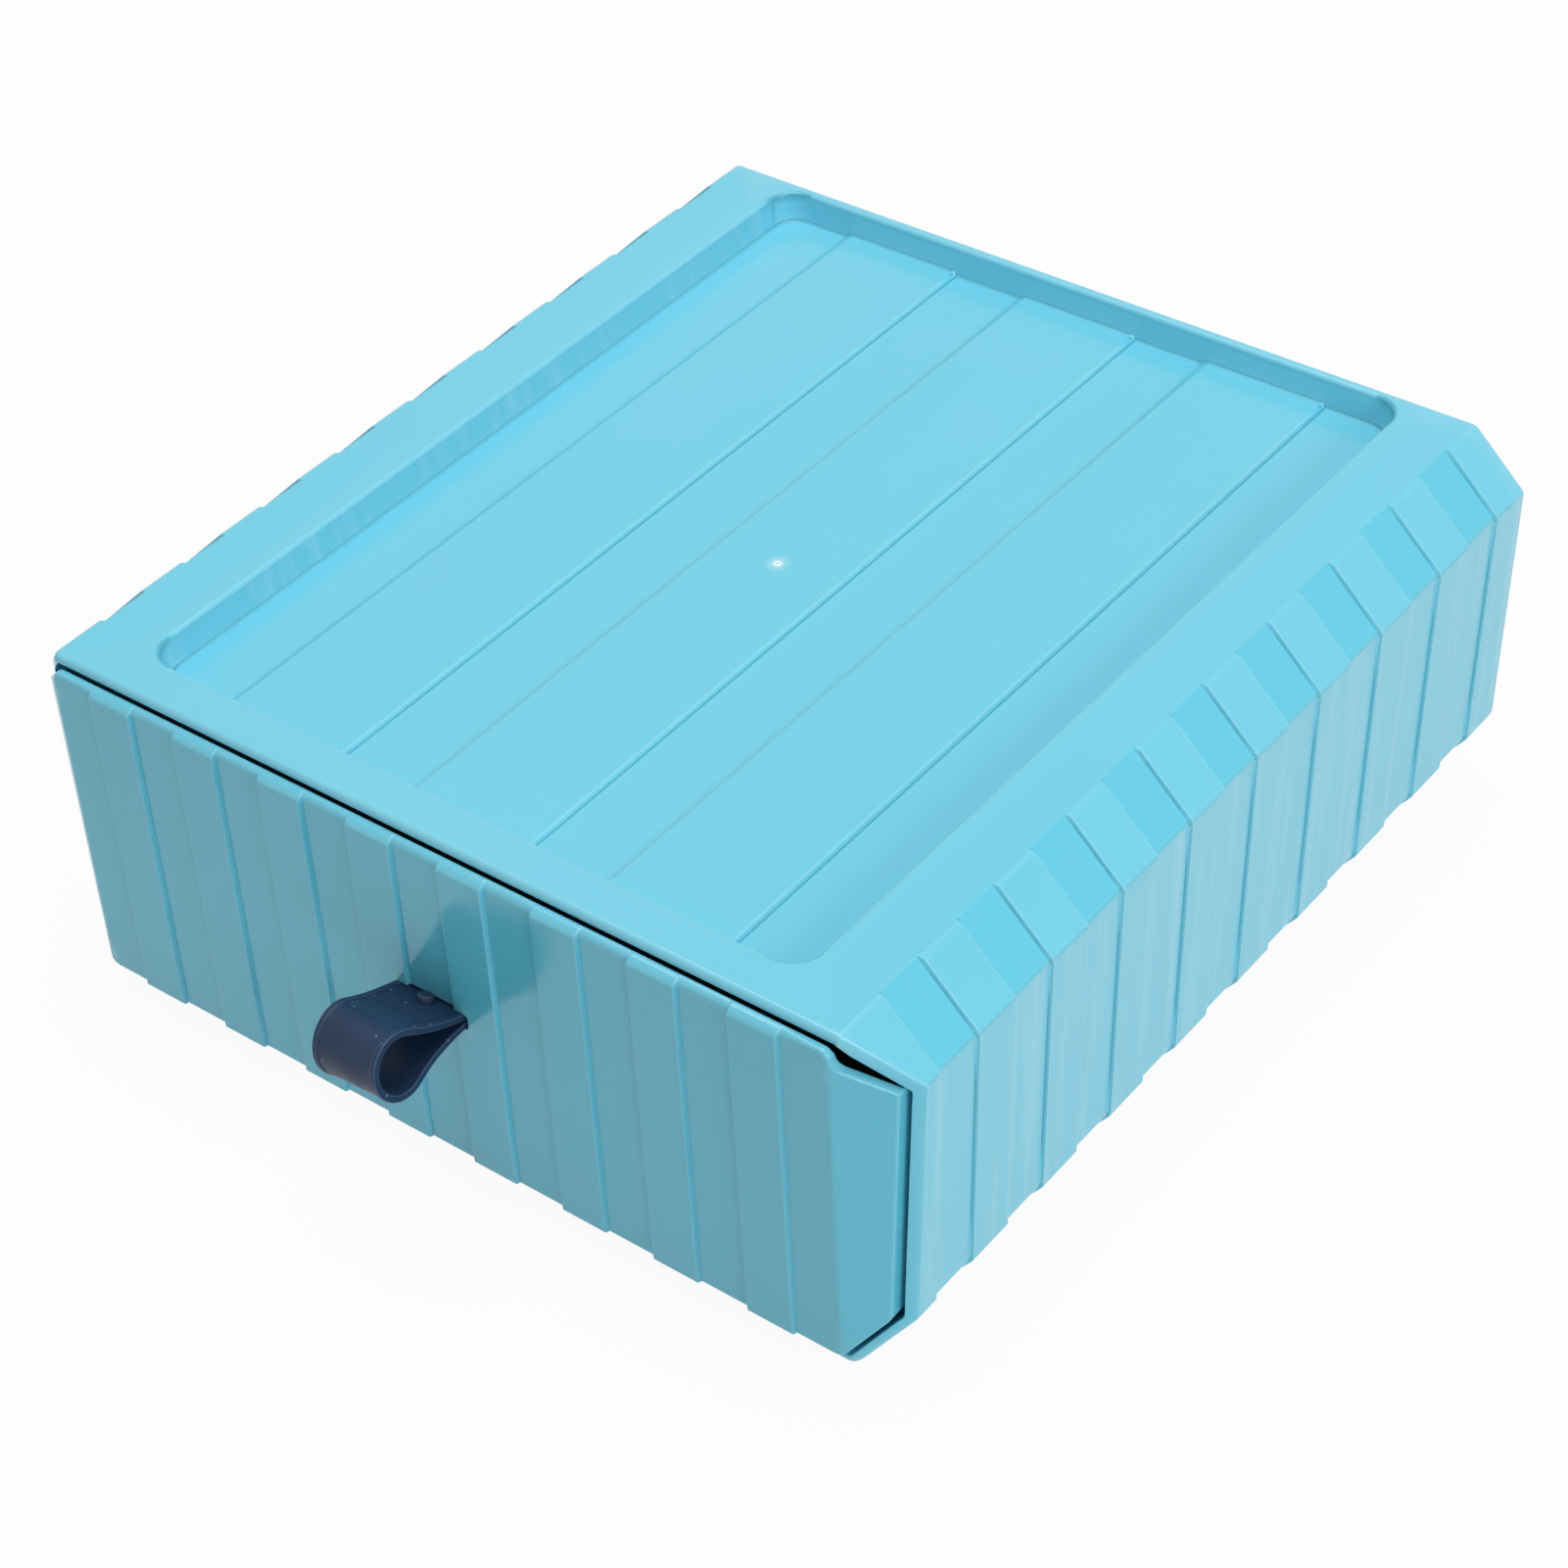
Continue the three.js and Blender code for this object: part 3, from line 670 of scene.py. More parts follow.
def tube(shell, table):
    """Joins the rings of a table of points into a closed tube: a face on each cell and one over each end."""
    numbers = shell.add(table)
    shell.skin(numbers, around=True)
    shell.cap(numbers[0])
    shell.cap(numbers[-1])


def gate_mark():
    """A flat button turned about an upright line: a rounded rim round a shallow dimple."""
    share = np.linspace(0, 1, 14)
    radii = GATE_RADIUS * (1 - share * GATE_MIDDLE)[:, None]
    dimple = GATE_DIMPLE * ease((share - GATE_DIMPLE_EDGE) / GATE_DIMPLE_EDGE)
    rise = (GATE_HEIGHT * ease(share / GATE_RIM) - dimple)[:, None]
    angles = np.linspace(0, 2 * np.pi, 41)[:-1]
    height = TOP - TRAY_DEPTH + BOARD_HEIGHT - GATE_SEAT + np.broadcast_to(rise, (len(share), len(angles)))
    shell = Shell()
    tube(shell, np.stack([radii * np.cos(angles), GATE_DEPTH + radii * np.sin(angles), height], -1))
    return shell


# Drawer

TUB_STEPS = (8, 3, 8)
RIM_STEPS = 4
CURVE_STEPS = (6, 8)
RIM = sum(TUB_STEPS) + 2 + len(WALL_LEVELS) + RIM_STEPS
SPARE = 3
SWEEP_SHARES = (0.004, 0.05, 0.3, 0.6, 0.9, 1)
TURN_ROWS = 9


def tub_corners(wall, floor):
    """Underside, belly and rim corners of the tub's right side, sunk into its wall and its floor."""
    sides = CASING_WALL + SIDE_GAP + wall
    shoulder = CASING_WALL + SHOULDER_GAP
    distances = [sides, sides, shoulder, 0, shoulder, sides, sides, DRAWER_LIFT + floor]
    return offset_corners(section_corners(), distances)[:3]


def side_line(corners, radii, steps, runs):
    """A line up the drawer's right side, with its outward normals.

    It rounds all corners but the first and last; the straight runs between get points at the given heights,
    or evenly where only a number is given.
    """
    bends = [corner_arc(*corners[i:i + 3], radii[i], steps[i]) for i in range(len(radii))]
    points, normals = [], []
    for i, (bend, facing) in enumerate(bends):
        points.append(bend)
        normals.append(facing)
        if i < len(runs):
            low = bend[-1]
            high = bends[i + 1][0][0] if i + 1 < len(bends) else corners[-1]
            levels = runs[i]
            if isinstance(levels, int):
                levels = np.linspace(low[1], high[1], levels + 2)[1:-1]
            shares = (levels - low[1]) / (high[1] - low[1])
            points.append(low + (high - low) * shares[:, None])
            normals.append(np.repeat(facing[-1:], len(levels), 0))
    return np.concatenate(points), np.concatenate(normals)


def plan(x, radius):
    """How far back the front's face lies: flat, then an arc, then a straight slant out to each side."""
    out = np.maximum(np.abs(x) - BEND_START, 0)
    reach = radius * math.sin(FRONT_SLANT)
    curve = FRONT_BEND - FRONT_STAND - np.sqrt(radius ** 2 - np.minimum(out, reach) ** 2)
    return curve + np.maximum(out - reach, 0) * math.tan(FRONT_SLANT)


def front_tilt(outline, normals):
    """The face's slope in plan, which grows over the bend, as far as it runs along the outline's normal."""
    out = np.clip(np.abs(outline[..., 0]) - BEND_START, 0, FRONT_BEND * math.sin(FRONT_SLANT))
    return np.arctan(out / np.sqrt(FRONT_BEND ** 2 - out ** 2) * np.abs(normals[..., 0]))


def front_columns(reach, edge):
    """Spreads the columns of each row: fixed over the planks, drawn in beside them where the row is short,
    and with a few spare ones from the reach out to the edge."""
    right = np.unique(np.round(np.concatenate([
        samples_at_edges(FRONT_EDGES[FRONT_EDGES > 0], FRONT_PLANK_EDGE, EDGE_SAMPLES),
        (SLOT_INNER[0], SLOT_EDGE[0], PLANKS_END), BETWEEN_PLANKS,
    ]), 4))
    beside = np.concatenate([BESIDE_PLANKS, BEND_COLUMNS, [BESIDE_END]])
    share = np.minimum((reach - PLANKS_END) / (BESIDE_END + BESIDE_MARGIN - PLANKS_END), 1)[:, None]
    drawn = PLANKS_END + (beside - PLANKS_END) * share
    last = drawn[:, -1:]
    outer = last + (reach[:, None] - last) * OUTER_SHARES
    spare = reach[:, None] + (edge - reach)[:, None] * np.linspace(0, 1, SPARE + 1)[1:]
    half = np.concatenate([np.broadcast_to(right, (len(reach), len(right))), drawn, outer, spare], 1)
    return np.concatenate([-half[:, ::-1], np.zeros((len(reach), 1)), half], 1)


def hanging(table):
    """The border of a table from its last row's right end, down and across its first row, to the left end."""
    return np.concatenate([table[::-1, -1], table[0, -2:0:-1], table[:, 0]])


def framed(table, side, bottom, top=None):
    """Gives a table the side's line on its right border, mirrored on its left, and a height at its ends."""
    table[:, -1], table[:, 0] = side, side * (-1, 1)
    table[0, 1:-1, 1] = bottom
    if top is not None:
        table[-1, 1:-1, 1] = top
    return table


def round_edge(shell, start, depth, outline, normals, radius, way=1, around=False, settling=0):
    """Rounds the edge between a face and the band behind it (way 1) or before it (way -1).

    Each ring's points lie on a circle of that radius, from the face's tilt to the band's direction, and
    settle back by a further depth on the way. Returns the numbers of all rings and the depth of the last.
    """
    tilt = front_tilt(outline, normals)
    rings = [start]
    for share in np.linspace(0, 1, EDGE_STEPS + 1)[1:]:
        angle = way * tilt + (np.pi / 2 - way * tilt) * share
        flat = outline - normals * (radius * (1 - np.sin(angle)))[:, None]
        y = depth + way * radius * (np.cos(tilt) - np.cos(angle)) + settling * ease(share)
        rings.append(shell.add(np.stack([flat[:, 0], y, flat[:, 1]], 1)))
    rings = np.array(rings)
    shell.skin(rings, around=around)
    return rings, y


def slot_ring(points, growth):
    """Points of the slot's outline grown by a distance, each in line with a point of the grid."""
    place = points[..., [0, 2]] - (0, SLOT_CENTRE)
    core = np.clip(place, -SLOT_INNER, SLOT_INNER)
    away = place - core
    away /= np.maximum(np.linalg.norm(away, axis=-1, keepdims=True), 1e-9)
    moved = core + away * (SLOT_CORNER + growth)
    return np.stack([moved[..., 0], points[..., 1], moved[..., 1] + SLOT_CENTRE], -1)


def slot_block(x, z):
    """The rows and columns of the front's grid that the slot takes."""
    low, high = (int(np.abs(z - (SLOT_CENTRE + side * SLOT_EDGE[1])).argmin()) for side in (-1, 1))
    columns = np.flatnonzero(np.abs(x[low]) <= SLOT_EDGE[0] + 0.001)
    return slice(low, high + 1), slice(columns[0], columns[-1] + 1)


def cut_slot(shell, front, rear, fronts, rears):
    """Joins the slot's opening in the front's face to the one in its rear face, with rounded edges."""
    mouth, back = loop_of(front), loop_of(rear)
    half = SLOT_ROUND * (1 - math.sqrt(0.5))
    rings = [(mouth, half, half), (mouth, 0, SLOT_ROUND), (back, 0, -SLOT_ROUND), (back, half, -half)]
    numbers = [shell.add(slot_ring(points, growth) + (0, deeper, 0)) for points, growth, deeper in rings]
    shell.skin(np.array([loop_of(fronts), *numbers, loop_of(rears)]), around=True)


def drawer_side():
    """The drawer's right side and its outward normals: outside to the front's top, inside to the rim."""
    outer, inner = tub_corners(0, 0), tub_corners(DRAWER_WALL, DRAWER_FLOOR)
    curve_foot = np.array([HALF_TOP - CURVE_INSET + CURVE_WIDTH, HEAD - CURVE_DROP])
    slope = (outer[2] - curve_foot) / np.linalg.norm(outer[2] - curve_foot)
    corners = [np.array([0, BOTTOM]), *outer, curve_foot - slope * CURVE_REACH,
               np.array([HALF_TOP - CURVE_INSET + CURVE_REACH, HEAD]), np.array([0, HEAD])]
    radii = (TUB_RADIUS, TUB_RADIUS, RIM_RADIUS, CURVE_FOOT_RADIUS, CURVE_HEAD_RADIUS)
    steps = (TUB_STEPS[0], TUB_STEPS[2], RIM_STEPS, *CURVE_STEPS)
    line, facing = side_line(corners, radii, steps, (TUB_STEPS[1], WALL_LEVELS, 3, 1))
    levels = np.concatenate([WALL_LEVELS, line[RIM - RIM_STEPS:RIM + 1, 1]])
    corners = [np.array([0, BOTTOM + DRAWER_FLOOR]), *inner]
    return line, facing, *side_line(corners, [TUB_RADIUS - DRAWER_WALL] * 2, steps, (TUB_STEPS[1], levels))


def front_face(line, facing, rounding):
    """The front's face with its proud planks, a grid whose rows follow the outline of its side.

    Also returns how much wider its edge's rounding is along the top, and the plank share of each point.
    """
    side = line - facing * (rounding * (1 - np.sin(front_tilt(line, facing))))[:, None]
    x = front_columns(side[:, 0] - DRAWER_WALL, side[:, 0])
    z = np.repeat(side[:, 1:], x.shape[1], 1)
    widening = (TOP_EDGE - SIDE_EDGE) * ease((TOP_EDGE_END - np.abs(x)) / TOP_EDGE_RUN)
    z = z - widening * np.clip((z - TOP_EDGE_FOOT) / (HEAD - SIDE_EDGE - TOP_EDGE_FOOT), 0, 1)
    planks = sum(pulse(x, centre, FRONT_PLANK, FRONT_PLANK_EDGE) for centre in FRONT_CENTRES)
    return np.stack([x, plan(x, FRONT_BEND) - FRONT_PLANK_DEPTH * planks, z], -1), widening, planks


def rear_face(line, facing, hollow, hollow_facing, fillet):
    """The front's rear face: its rows end at the tub's inside up to the rim, and near the edge above it."""
    side = line - facing * (REAR_EDGE * (1 + np.sin(front_tilt(line, facing))))[:, None]
    inner = hollow - hollow_facing * (fillet * (1 - np.sin(front_tilt(hollow, hollow_facing))))[:, None]
    margin = side[RIM, 0] - inner[RIM, 0]
    reach = np.append(inner[:, 0], side[RIM + 1:, 0] - margin)
    x = front_columns(reach, reach + margin)
    z = np.repeat(np.append(inner[:, 1], side[RIM + 1:, 1])[:, None], x.shape[1], 1)
    z[RIM, :SPARE] = z[RIM, -SPARE:] = side[RIM, 1]
    return np.stack([x, plan(x, FRONT_BEND - FRONT_WALL), z], -1)


def front_border(front, line, facing, rounding, widening, planks):
    """Once round the front: its outline, normals, rounding, and how far a plank's end settles back."""
    outline = framed(front[..., [0, 2]], line, BOTTOM, HEAD)
    normals = framed(np.zeros_like(outline), facing, -1, 1)
    radius, settling = np.zeros(widening.shape), np.zeros(widening.shape)
    radius[:, -1] = radius[:, 0] = rounding
    radius[0, 1:-1], radius[-1, 1:-1] = rounding[0], rounding[-1] + widening[-1, 1:-1]
    settling[-1, 1:-1] = FRONT_PLANK_DEPTH * planks[-1, 1:-1]
    return [loop_of(table) for table in (outline, normals, radius, settling)]


def inner_border(inside, line, facing, fillet):
    """From rim to rim round the rear face: the tub's inner outline, its normals and its fillet."""
    outline = framed(inside[..., [0, 2]], line, BOTTOM + DRAWER_FLOOR)
    normals = framed(np.zeros_like(outline), facing, -1)
    radius = np.full(inside.shape[:2], fillet[0])
    radius[:, -1] = radius[:, 0] = fillet
    return [hanging(table) for table in (outline, normals, radius)]


def drawer_shell():
    """A front with proud planks, and a tub swept back from it.

    The edge of the front's face is rounded into a band. The tub is a thick U, carried back as a closed
    line of outside, rim, inside and rim, and turned in round the back.
    """
    line, facing, hollow_line, hollow_facing = drawer_side()
    rounding = SIDE_EDGE - (SIDE_EDGE - FOOT_EDGE) * np.maximum(-facing[:, 1], 0) ** 2
    below_rim = hollow_line[-1, 1] - hollow_line[:, 1]
    fillet = REAR_EDGE + (INNER_FILLET - REAR_EDGE) * ease(below_rim / FILLET_RUN)
    front, widening, planks = front_face(line, facing, rounding)
    rear = rear_face(line, facing, hollow_line, hollow_facing, fillet)
    slot = slot_block(rear[..., 0], line[:, 1])
    front[slot], rear[slot] = slot_ring(front[slot], SLOT_ROUND), slot_ring(rear[slot], SLOT_ROUND)

    shell = Shell()
    fronts, rears = shell.add(front), shell.add(rear)
    keep = np.ones((fronts.shape[0] - 1, fronts.shape[1] - 1), bool)
    keep[tuple(slice(part.start, part.stop - 1) for part in slot)] = False
    shell.skin(fronts, keep=keep)
    keep[:RIM, :SPARE] = keep[:RIM, -SPARE:] = False
    shell.skin(rears, keep=keep)
    cut_slot(shell, front[slot], rear[slot], fronts[slot], rears[slot])

    outline, normals, radius, settling = front_border(front, line, facing, rounding, widening, planks)
    edge, edge_depth = round_edge(shell, loop_of(fronts), loop_of(front)[:, 1], outline, normals, radius,
                                  around=True, settling=settling)
    edge = edge[-1]
    corner = fronts.shape[1] - 1 + RIM
    over = np.arange(corner, len(edge) - RIM + 1)
    under = np.arange(corner, -RIM - 1, -1) % len(edge)
    back_edge, back_depth = round_edge(shell, loop_of(rears)[over], loop_of(rear)[over, 1], outline[over],
                                       normals[over], np.full(len(over), REAR_EDGE), way=-1)
    shell.skin(np.array([edge[over], back_edge[-1]]))

    inside = (slice(RIM + 1), slice(SPARE, -SPARE))
    hollow, hollow_normals, fillets = inner_border(rear[inside], hollow_line, hollow_facing, fillet)
    inner_edge, inner_depth = round_edge(shell, hanging(rears[inside]), hanging(rear[inside])[:, 1], hollow,
                                         hollow_normals, fillets)

    first_depth = edge_depth[under] + back_depth[0] - edge_depth[over[0]]
    wall = np.stack([outline[under, 0], first_depth, outline[under, 1]], 1)
    first = shell.add(wall)
    first[0], first[-1] = back_edge[-1, 0], back_edge[-1, -1]
    shell.skin(np.array([edge[under], first]))
    sweep_tub(shell, {
        "outside": (first, wall, normals[under]),
        "inside": (inner_edge[-1], np.stack([hollow[:, 0], inner_depth, hollow[:, 1]], 1), hollow_normals),
        "right": np.concatenate([back_edge[:0:-1, 0], rears[RIM, :-SPARE - 2:-1], inner_edge[1:, 0]]),
        "left": np.concatenate([back_edge[:0:-1, -1], rears[RIM, :SPARE + 1], inner_edge[1:, -1]]),
    })
    return shell


def rim_section(outside, facing, inside):
    """The rim's section from the wall's outside over the top to its inside: arc, flat and arc."""
    centre = outside - facing * RIM_RADIUS
    start = math.atan2(facing[1], facing[0])
    angles = start + (math.pi / 2 - start) * np.linspace(0, 1, EDGE_STEPS + 1)
    over = centre + RIM_RADIUS * np.stack([np.cos(angles), np.sin(angles)], 1)
    angles = math.pi / 2 * (1 + np.linspace(0, 1, EDGE_STEPS + 1))
    middle = np.array([inside + REAR_EDGE, over[-1, 1] - REAR_EDGE])
    into = middle + REAR_EDGE * np.stack([np.cos(angles), np.sin(angles)], 1)
    flat = over[-1] + (into[0] - over[-1]) * np.linspace(0, 1, SPARE + 1)[1:-1, None]
    return np.concatenate([over, flat, into])


def turn_in(points, normals, corner):
    """How the tub's wall turns in at the back: radius, lift, share of its width, and where it begins.

    The radius is the corner's on the walls, and shrinks to the foot's where the wall runs into the floor.
    """
    beside_floor = np.minimum(np.abs(normals[:, 0]) * BACK_FOOT_RISE, 1)
    radius = BACK_FOOT + (corner - BACK_FOOT) * np.where(points[:, 2] > SLOT_CENTRE, 1, beside_floor)
    lift = BACK_FOOT * (points[0, 2] - points[:, 2]) / (points[0, 2] - points[:, 2].min())
    return radius, lift, np.full(len(points), corner / points[0, 0]), TURN_DEPTH + corner - radius


def sweep_tub(shell, parts):
    """Sweeps the tub's closed line to the back: straight, then turned in on a quarter circle in plan."""
    first, wall, facing = parts["outside"]
    inner, hollow, inner_facing = parts["inside"]
    rim = rim_section(wall[0, [0, 2]], facing[0], hollow[0, 0])
    strip = rim[1:-1]
    corner = BACK_CORNER - (wall[0, 0] - strip[:, 0])
    across = (corner, np.zeros(len(strip)), corner / strip[:, 0], np.full(len(strip), TURN_DEPTH))
    outside = turn_in(wall, facing, BACK_CORNER)
    inside = turn_in(hollow, inner_facing, BACK_CORNER - (wall[0, 0] - hollow[0, 0]))
    hollow_line = hollow[:, [0, 2]]
    hollow_line[[0, -1], 1] = rim[-1, 1]
    line = np.concatenate([wall[:, [0, 2]], strip * (-1, 1), hollow_line[::-1], strip[::-1]])
    backwards = [[values[::-1] for values in stretch] for stretch in (inside, across)]
    stretches = zip(outside, across, *backwards)
    radius, lift, draw, end = (np.concatenate(values) for values in stretches)
    numbers = np.concatenate([first, parts["left"][1:-1], inner[::-1], parts["right"][-2:0:-1]])
    start = np.concatenate(shell.points)[numbers, 1]

    rows = [numbers]
    for share in SWEEP_SHARES:
        rows.append(shell.add(np.stack([line[:, 0], start + (end - start) * share, line[:, 1]], 1)))
    for angle in np.linspace(0, np.pi / 2, TURN_ROWS + 1)[1:]:
        inwards = 1 - math.cos(angle)
        x, z = line[:, 0] * (1 - draw * inwards), line[:, 1] + lift * inwards
        rows.append(shell.add(np.stack([x, end + radius * math.sin(angle), z], 1)))
    shell.skin(np.array(rows), around=True)
    last = rows[-1]
    count, span = len(wall), len(strip)
    shell.cap(last[:count])
    shell.cap(last[count + span:count + span + len(hollow)])
    right = np.concatenate([last[:1], last[:-span - 1:-1], last[-span - 1:-span]])
    left = last[count - 1:count + span + 1]
    shell.skin(np.array([right, left]))


# Strap pull

def bezier(points, count):
    """A cubic curve through its first and last point, pulled towards the two between."""
    t = np.linspace(0, 1, count)[:, None]
    a, b, c, d = (np.asarray(point, float) for point in points)
    return a * (1 - t) ** 3 + 3 * b * t * (1 - t) ** 2 + 3 * c * t ** 2 * (1 - t) + d * t ** 3


def leg(side, count):
    """The middle line of a leg in y and z, from the drawer's front out to the loop."""
    angle = side * LOOP_OPENING
    spoke = np.array([math.cos(angle), math.sin(angle)])
    joint = LOOP_CENTRE + spoke * LOOP_RADIUS
    onwards = np.array([-spoke[1], spoke[0]]) * side
    leave = np.array([-FRONT_STAND, SLOT_CENTRE + side * (STRAP_THICKNESS + STRAP_LEG_GAP) / 2])
    start = leave + (-STRAP_LEG_BEND, STRAP_LEG_RISE if side > 0 else 0)
    return bezier([leave, start, joint - onwards * STRAP_LOOP_EASE, joint], count)


def strap_path():
    """The strap's middle line in y and z: from the upper anchor, round the loop, to the lower anchor."""
    angles = np.linspace(LOOP_OPENING, 2 * math.pi - LOOP_OPENING, LOOP_POINTS + 2)[1:-1]
    loop = LOOP_CENTRE + LOOP_RADIUS * np.stack([np.cos(angles), np.sin(angles)], 1)
    upper, lower = leg(1, LEG_POINTS), leg(-1, LEG_POINTS)[::-1]
    anchor = -FRONT_STAND + FRONT_WALL + ANCHOR_GAP + ANCHOR_THICKNESS / 2
    inner = np.linspace(anchor, -FRONT_STAND, 5)[:-1]
    start = np.stack([inner, np.full(4, upper[0, 1])], 1)
    end = np.stack([inner[::-1], np.full(4, lower[-1, 1])], 1)
    return np.concatenate([start, upper, loop, lower, end])


def band_section():
    """Half of the band's section, from its middle outwards: across the width and out of the thickness."""
    half, thick, bead = STRAP_WIDTH / 2, STRAP_THICKNESS / 2, STRAP_BEAD_HEIGHT
    step = half - STRAP_BEAD_WIDTH
    foot = step - STRAP_BEAD_SLOPE / 2
    rise = np.linspace(0, 1, 5)
    shoulder = np.stack([foot + STRAP_BEAD_SLOPE * rise, thick + bead * ease(rise)], 1)
    edge, radius = half - STRAP_EDGE_RADIUS, STRAP_EDGE_RADIUS
    outer = arc((edge, thick + bead - radius), (0, 1), (1, 0), radius, EDGE_STEPS)
    inner = arc((edge, -thick + radius), (1, 0), (0, -1), radius, EDGE_STEPS)
    flat = np.linspace(0, foot, 6)[:-1]
    crest_ends = (shoulder[-1, 0] + STRAP_MARGIN, outer[0, 0] - STRAP_MARGIN)
    crest = np.array([(place, thick + bead) for place in crest_ends])
    flank = np.array([(half, outer[-1, 1] - STRAP_MARGIN), (half, inner[0, 1] + STRAP_MARGIN)])
    right = np.concatenate([
        np.stack([flat, np.full(5, thick)], 1), shoulder, crest, outer, flank, inner,
        np.stack([flat[::-1] + edge - step, np.full(5, -thick)], 1)[:-1],
        [(0, -thick)],
    ])
    return np.concatenate([right, (right * (-1, 1))[-2:0:-1]])


def folded_band(shell):
    """Carries the band's section along the strap's middle line."""
    path = strap_path()
    along = np.gradient(path, axis=0)
    along /= np.linalg.norm(along, axis=1, keepdims=True)
    outwards = np.stack([along[:, 1], -along[:, 0]], 1)
    outline = band_section()
    centre = path[:, None] + outwards[:, None] * outline[None, :, 1:]
    across = np.broadcast_to(outline[:, 0], centre.shape[:2])
    tube(shell, np.stack([across, centre[..., 0], centre[..., 1]], -1))


def turned_stud(shell):
    """A low domed head on a short stem, turned about the upper leg's normal."""
    curve = leg(1, 200)
    walked = np.concatenate([[0], np.cumsum(np.linalg.norm(np.diff(curve, axis=0), axis=1))])
    foot = np.array([np.interp(STUD_REACH, walked, curve[:, axis]) for axis in (0, 1)])
    ahead = np.array([np.interp(STUD_REACH + 1, walked, curve[:, axis]) for axis in (0, 1)]) - foot
    ahead /= np.linalg.norm(ahead)
    up = np.array([0, ahead[1], -ahead[0]])
    side = np.array([0, ahead[0], ahead[1]])
    seat = STRAP_THICKNESS / 2 - STUD_SEAT
    dome = np.linspace(0, np.pi / 2, 8)
    crown = 1 - STUD_CROWN + STUD_CROWN * np.sin(dome)
    radii = STUD_HEAD_RADIUS * np.concatenate([[STUD_FOOT], np.cos(dome) ** STUD_ROUNDNESS])
    heights = seat + np.concatenate([[0], STUD_HEAD_HEIGHT * crown])
    angles = np.linspace(0, 2 * np.pi, 33)[:-1]
    ring = np.cos(angles)[:, None] * np.array([1, 0, 0]) + np.sin(angles)[:, None] * side
    centre = np.array([0, foot[0], foot[1]])
    table = centre + radii[:-1, None, None] * ring + heights[:-1, None, None] * up
    tube(shell, table)


def twist_strap(shell):
    """Turns the strap about the slot's middle line and skews its left edge back, ever more to the nose."""
    for points in shell.points:
        share = ease((-FRONT_STAND - points[:, 1]) / STRAP_REACH)
        turn = math.radians(STRAP_TWIST) * share
        rise = points[:, 2] - SLOT_CENTRE
        across = points[:, 0].copy()
        points[:, 0] = across * np.cos(turn) - rise * np.sin(turn)
        points[:, 2] = SLOT_CENTRE + across * np.sin(turn) + rise * np.cos(turn)
        points[:, 1] += share * (STRAP_WIDTH / 2 - across) * math.tan(math.radians(STRAP_SKEW))


def rounded_bar(shell, low, high, radius):
    """A bar with round edges: rounded rectangles in y and z carried along x, drawn in at both ends."""
    bend = quarter(radius, np.linspace(0, np.pi / 2, EDGE_STEPS))
    stations = [(low[0] + out, inset) for out, inset in bend]
    stations += [(high[0] - out, inset) for out, inset in bend[::-1]]
    corners = [(high[1], low[2], 0), (high[1], high[2], 1), (low[1], high[2], 2), (low[1], low[2], 3)]
    rows = []
    for x, inset in stations:
        outline = []
        for y, z, turn in corners:
            towards = np.array([-np.sign(y - (low[1] + high[1]) / 2), -np.sign(z - (low[2] + high[2]) / 2)])
            centre = np.array([y, z]) + towards * radius
            start = -math.pi / 2 + turn * math.pi / 2
            angles = start + np.linspace(0, np.pi / 2, EDGE_STEPS)
            outline.append(centre + (radius - inset) * np.stack([np.cos(angles), np.sin(angles)], 1))
        outline = np.concatenate(outline)
        rows.append(np.stack([np.full(len(outline), x), outline[:, 0], outline[:, 1]], 1))
    tube(shell, np.array(rows))


def anchor_bars(shell):
    """Two bars behind the front, one over the other, that hold the strap's ends."""
    front = -FRONT_STAND + FRONT_WALL + ANCHOR_GAP
    for side in (1, -1):
        near = SLOT_CENTRE + side * STRAP_LEG_GAP / 2
        far = near + side * ANCHOR_HEIGHT
        low = (-ANCHOR_WIDTH / 2, front, min(near, far))
        rounded_bar(shell, low, (-low[0], front + ANCHOR_THICKNESS, max(near, far)), ANCHOR_RADIUS)


def strap_shell():
    """The band and its stud, twisted together, and the anchors."""
    shell = Shell()
    folded_band(shell)
    turned_stud(shell)
    twist_strap(shell)
    anchor_bars(shell)
    return shell


# Materials

def new_material(name):
    """An empty material, with its nodes, its links and its shader."""
    material = bpy.data.materials.new(name)
    material.use_nodes = True
    nodes, links = material.node_tree.nodes, material.node_tree.links
    return material, nodes, links, nodes["Principled BSDF"]


def noise(nodes, links, scale, detail, stretch=(1, 1, 1)):
    """Noise on Object coordinates; a stretch below 1 along an axis draws it out along that axis."""
    place = nodes.new("ShaderNodeTexCoord")
    mapping = nodes.new("ShaderNodeMapping")
    mapping.inputs["Scale"].default_value = stretch
    texture = nodes.new("ShaderNodeTexNoise")
    texture.inputs["Scale"].default_value = scale
    texture.inputs["Detail"].default_value = detail
    links.new(place.outputs["Object"], mapping.inputs["Vector"])
    links.new(mapping.outputs["Vector"], texture.inputs["Vector"])
    return texture.outputs["Fac"]


def ranged(nodes, links, value, low, high, start=0, end=1):
    """Maps a value between low and high onto start and end."""
    node = nodes.new("ShaderNodeMapRange")
    for name, number in (("From Min", low), ("From Max", high), ("To Min", start), ("To Max", end)):
        node.inputs[name].default_value = number
    links.new(value, node.inputs["Value"])
    return node.outputs["Result"]


